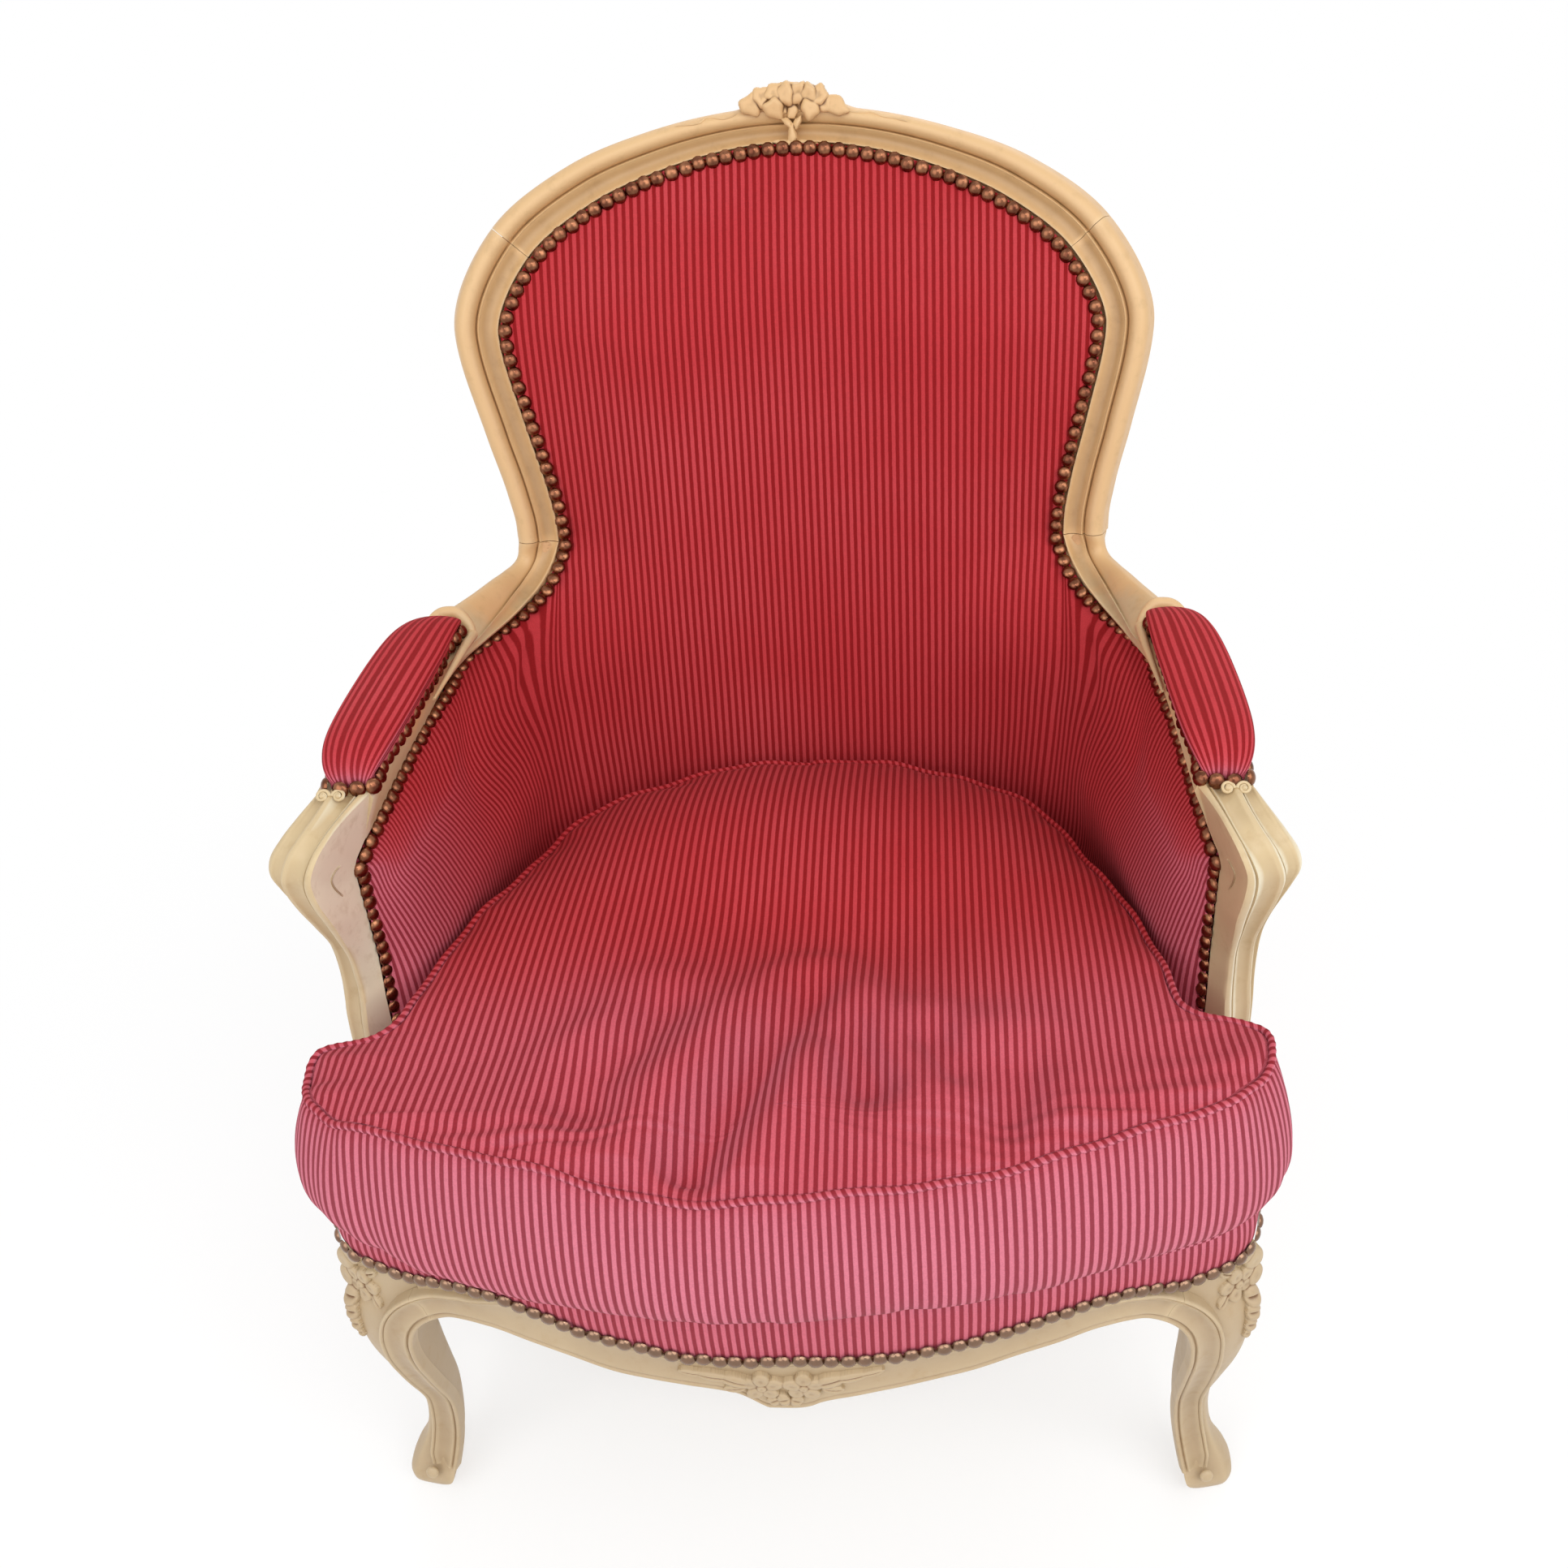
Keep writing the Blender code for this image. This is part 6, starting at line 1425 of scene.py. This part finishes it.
pipingOut = cushion['cord'] * .80 - cushion['inset'] - (cushion['frontInset'] - cushion['inset']) * atFront
for name, node, out, z in (('topPiping', 'cushion_top_piping', pipingOut, seamHigh + .0006),
                           ('bottomPiping', 'cushion_bottom_piping', pipingOut + .0080 * atFront,
                            seamLow + .0012 * atFront)):
    finishPiece(pipingPiece(name, out, z), cloth, 'striped_cotton', node, body='cushion')
print('cushion sewn')


# nails, one modelled and set close along the edges of the inside cloth, the seat border and the arm pads
nail = dict(radius=.0060, rise=.0036, pitch=.0113)


def oneNail():
    bpy.ops.object.select_all(action='DESELECT')
    bpy.ops.mesh.primitive_uv_sphere_add(segments=12, ring_count=8, radius=nail['radius'])
    head = bpy.context.object
    head.name = 'nailHead'
    bpy.ops.object.mode_set(mode='EDIT')
    bpy.ops.mesh.select_all(action='SELECT')
    bpy.ops.mesh.bisect(plane_co=(0, 0, 0), plane_no=(0, 0, 1), clear_inner=True, use_fill=True)
    bpy.ops.mesh.select_all(action='SELECT')
    bpy.ops.transform.resize(value=(1, 1, nail['rise'] / nail['radius']))
    bpy.ops.object.mode_set(mode='OBJECT')
    bpy.ops.object.shade_smooth_by_angle(angle=math.radians(60))
    return head


head = oneNail()


def nailRow(name, line, faces, seed=0):
    line = np.asarray(line, float)
    count = max(2, int(round(lengths(line)[-1] / nail['pitch'])) + 1)
    both = evenly(np.concatenate([line, np.asarray(faces, float) * 1e-6], 1), count=count)  # faces don't count as length
    spots, faces = both[:, :3], unit(both[:, 3:])
    wobble = np.random.default_rng(seed).normal(0, .00035, spots.shape)
    pieces = []
    for spot, face in zip(spots + wobble, faces):
        side = unit(np.cross(face, (.3, .2, 1) if abs(face[2]) < .8 else (1, 0, 0)))
        matrix = Matrix((side, np.cross(face, side), face)).transposed().to_4x4()
        matrix.translation = spot
        pieces.append(copied(head, name, matrix))
    return joined(name, pieces)


nailS = np.linspace(0, waistS, 160)
point, along, inwards, face = outlineFrame(nailS)
backNails = point + inwards * (mouldWidth(nailS)[:, None] + .0046) + face * .0040
lowerFace = normalOf(lower)
armStart = waistColumn + 3
settle = (1 - ease((np.arange(insideColumns - armStart) - 4) / 16))[:, None]
armNails = (lower[-1, armStart:] + lowerFace[-2, armStart:] * (.0022 + .0012 * settle)
            + armLip(lower[-1, armStart:, 1])[1] * (.0046 + .0008 * settle))
frontNails = lower[::-1, -1] + np.array((-.0008, .0035, 0))
line = np.concatenate([backNails, armNails, frontNails[2:40]])
faces = np.concatenate([face, lowerFace[-2, armStart:], np.broadcast_to((-.9, -.42, .1), frontNails[2:40].shape)])
rightNails = nailRow('rightInsideNails', line, faces, 1)
leftNails = otherSide(rightNails, 'leftInsideNails')
borderFaces = np.concatenate([borderOut, np.zeros((len(borderOut), 1))], 1)
borderNails = nailRow('borderNails', borderSpots[0] + np.array((0, 0, .0042)) + borderFaces * .0012, borderFaces, 2)


def padNails():  # round the foot of the arm pad
    y = np.linspace(armPad['back'] - .004, armPad['front'] + .003, 80)
    x, z = armPadMiddle(y)
    half = padHalf(y)
    turn = np.linspace(0, pi, 20)[1:-1]
    nose = np.stack([x[-1] - half[-1] * np.cos(turn), y[-1] - .005 * np.sin(turn), np.full(18, z[-1])], 1)
    tucked = half - .0055 * ease((armPad['back'] - y) / .03) * ease((y - armPad['front']) / .03)
    line = np.concatenate([np.stack([x - tucked, y, z], 1), nose, np.stack([x + half, y, z], 1)[::-1]]) + (0, 0, .0020)
    along = unit(np.gradient(line, axis=0))
    outward = unit(np.cross((0, 0, 1), along)) * -1
    return nailRow('rightPadNails', line + outward * .0012, outward + np.array((0, 0, .35)), 3)


rightPadNails = padNails()
leftPadNails = copied(rightPadNails, 'leftPadNails', leftPadMove)
for piece in (rightNails, leftNails, borderNails, rightPadNails, leftPadNails):
    finishPiece(piece, bronze, 'painted_beech')
bpy.data.objects.remove(head)
print('nails set')


# outside covers
def outsideBack():
    point, _, inwards, _ = outlineFrame(np.linspace(0, waistS, 40))
    half = [(edge[0], edge[2]) for edge in point + inwards * .010] + [(.2425, z) for z in np.linspace(.62, .298, 20)]
    half, share = np.array(half), np.linspace(-1, 1, 41)
    x, z = half[:, :1] * share, half[:, 1:] + 0 * share
    deep = .0480 - .0110 * ease((z - .68) / .14) + .002 * np.cos(pi / 2 * share)
    rows = onBack(x, z, -deep)[0]
    return gridPiece('outsideBack', rows, np.stack([rows[..., 0], rows[..., 2]], -1))


outsideBackCover = outsideBack()
modified(outsideBackCover, 'SOLIDIFY', thickness=.0022, offset=0)
finishPiece(outsideBackCover, cloth, 'striped_cotton', 'outside_back_cover')


def outsideArm():
    t = np.linspace(.03, .985, 44)
    middle, out, up = armFrames(t)
    profile = armProfile(t)
    tuck = (1 - ease((t - .20) / .14))[:, None]  # goes up inside the arm where it turns into the post
    top = middle + out * (profile[:, 0, :1] - .004 * tuck) + up * (profile[:, 0, 1:] + .004 * tuck)
    top = top + np.array((.002, 0, -.0012)) * (1 - tuck)
    front = curveThrough(supportEdges['back'][4:])
    front = front(np.linspace(0, front.end, 30)) + np.array((-.0045, .0010, 0))
    front[-1, 2] = .3335
    zs = np.linspace(.3335, .585, 30)
    rear = np.stack([.2465 + .011 * ease((zs - .44) / .1), onBack(.2275, zs, 0)[0][:, 1] + .0225, zs], 1)
    ys = np.linspace(.09, -.12, 20)
    foot = np.stack([sideRailX(ys) + .0152, ys, np.full(20, .3335)], 1)
    bottom, top = evenly(np.concatenate([rear[:1], foot, front[-1:]]), count=60), evenly(top, count=60)
    rear = evenly(np.concatenate([rear, top[:1]]), count=40)
    front = evenly(np.concatenate([front[::-1], top[-1:]]), count=40)
    spots = patch(bottom, top, rear, front)
    spots = spots + normalOf(spots) * .0022
    return spots, np.stack(np.broadcast_arrays(lengths(spots[20])[None], spots[..., 2]), -1)


armSpots, armUv = outsideArm()
rightOutside = gridPiece('rightOutsideArm', armSpots, armUv, flip=True)
modified(rightOutside, 'SOLIDIFY', thickness=.0018, offset=0)
for piece, side in ((otherSide(rightOutside, 'leftOutsideArm'), 'left'), (rightOutside, 'right')):
    finishPiece(piece, cloth, 'striped_cotton', side + '_outside_arm_cover')
print('outside covered')


# under the seat: hessian and interlaced webbing
webbing = dict(width=.050, thick=.0015, level=.34635, weave=.0010, xs=(-.138, -.046, .046, .138), ys=(-.150, -.075, 0, .075))


def strapPiece(name, node, lengthwise, index):  # goes over one strap and under the next
    low, high = (np.array(corner, float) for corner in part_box(node))
    middle = (low + high) / 2
    axis = 1 if lengthwise else 0
    run = np.linspace(low[axis], high[axis], 140)
    crossings = webbing['ys'] if lengthwise else webbing['xs']
    lift = np.zeros_like(run)
    for k, place in enumerate(crossings):
        over = 1 if (k + index + lengthwise) % 2 else -1
        lift += over * webbing['weave'] * ease(1.6 - np.abs(run - place) / .0235)
    wide = np.linspace(-webbing['width'] / 2, webbing['width'] / 2, 9)
    spots = np.zeros((len(run), len(wide), 3))
    spots[..., axis] = run[:, None]
    spots[..., 1 - axis] = middle[1 - axis] + (wide if lengthwise else -wide)
    spots[..., 2] = (webbing['level'] + lift)[:, None]
    piece = gridPiece(name, spots)
    modified(piece, 'SOLIDIFY', thickness=webbing['thick'], offset=0)
    return finishPiece(piece, jute, 'jute_webbing', node)


for index in range(1, 5):
    strapPiece('longStrap%d' % index, 'long_strap_%d' % index, True, index)
    strapPiece('crossStrap%d' % index, 'cross_strap_%d' % index, False, index)


def hessianSheet():
    low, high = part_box('seat_hessian')
    ring, centre = deckRing(.007), np.array((0, -.1))
    rows = []
    for share in np.linspace(.996, 0, 12):
        spots = centre + (ring - centre) * share
        sag = .0012 * np.sin(spots[:, 0] * 34) * np.sin(spots[:, 1] * 42)  # pressed into the squares of the webbing
        rows.append(np.concatenate([spots, ((low[2] + high[2]) / 2 + .0006 + .4 * sag)[:, None]], 1))
    piece = gridPiece('hessianSheet', wrapped(np.array(rows)), closed=True)
    return modified(piece, 'SOLIDIFY', thickness=.0010, offset=0)


hessianPiece = finishPiece(hessianSheet(), hessian, 'hessian', 'seat_hessian')
print('webbing and hessian laid')
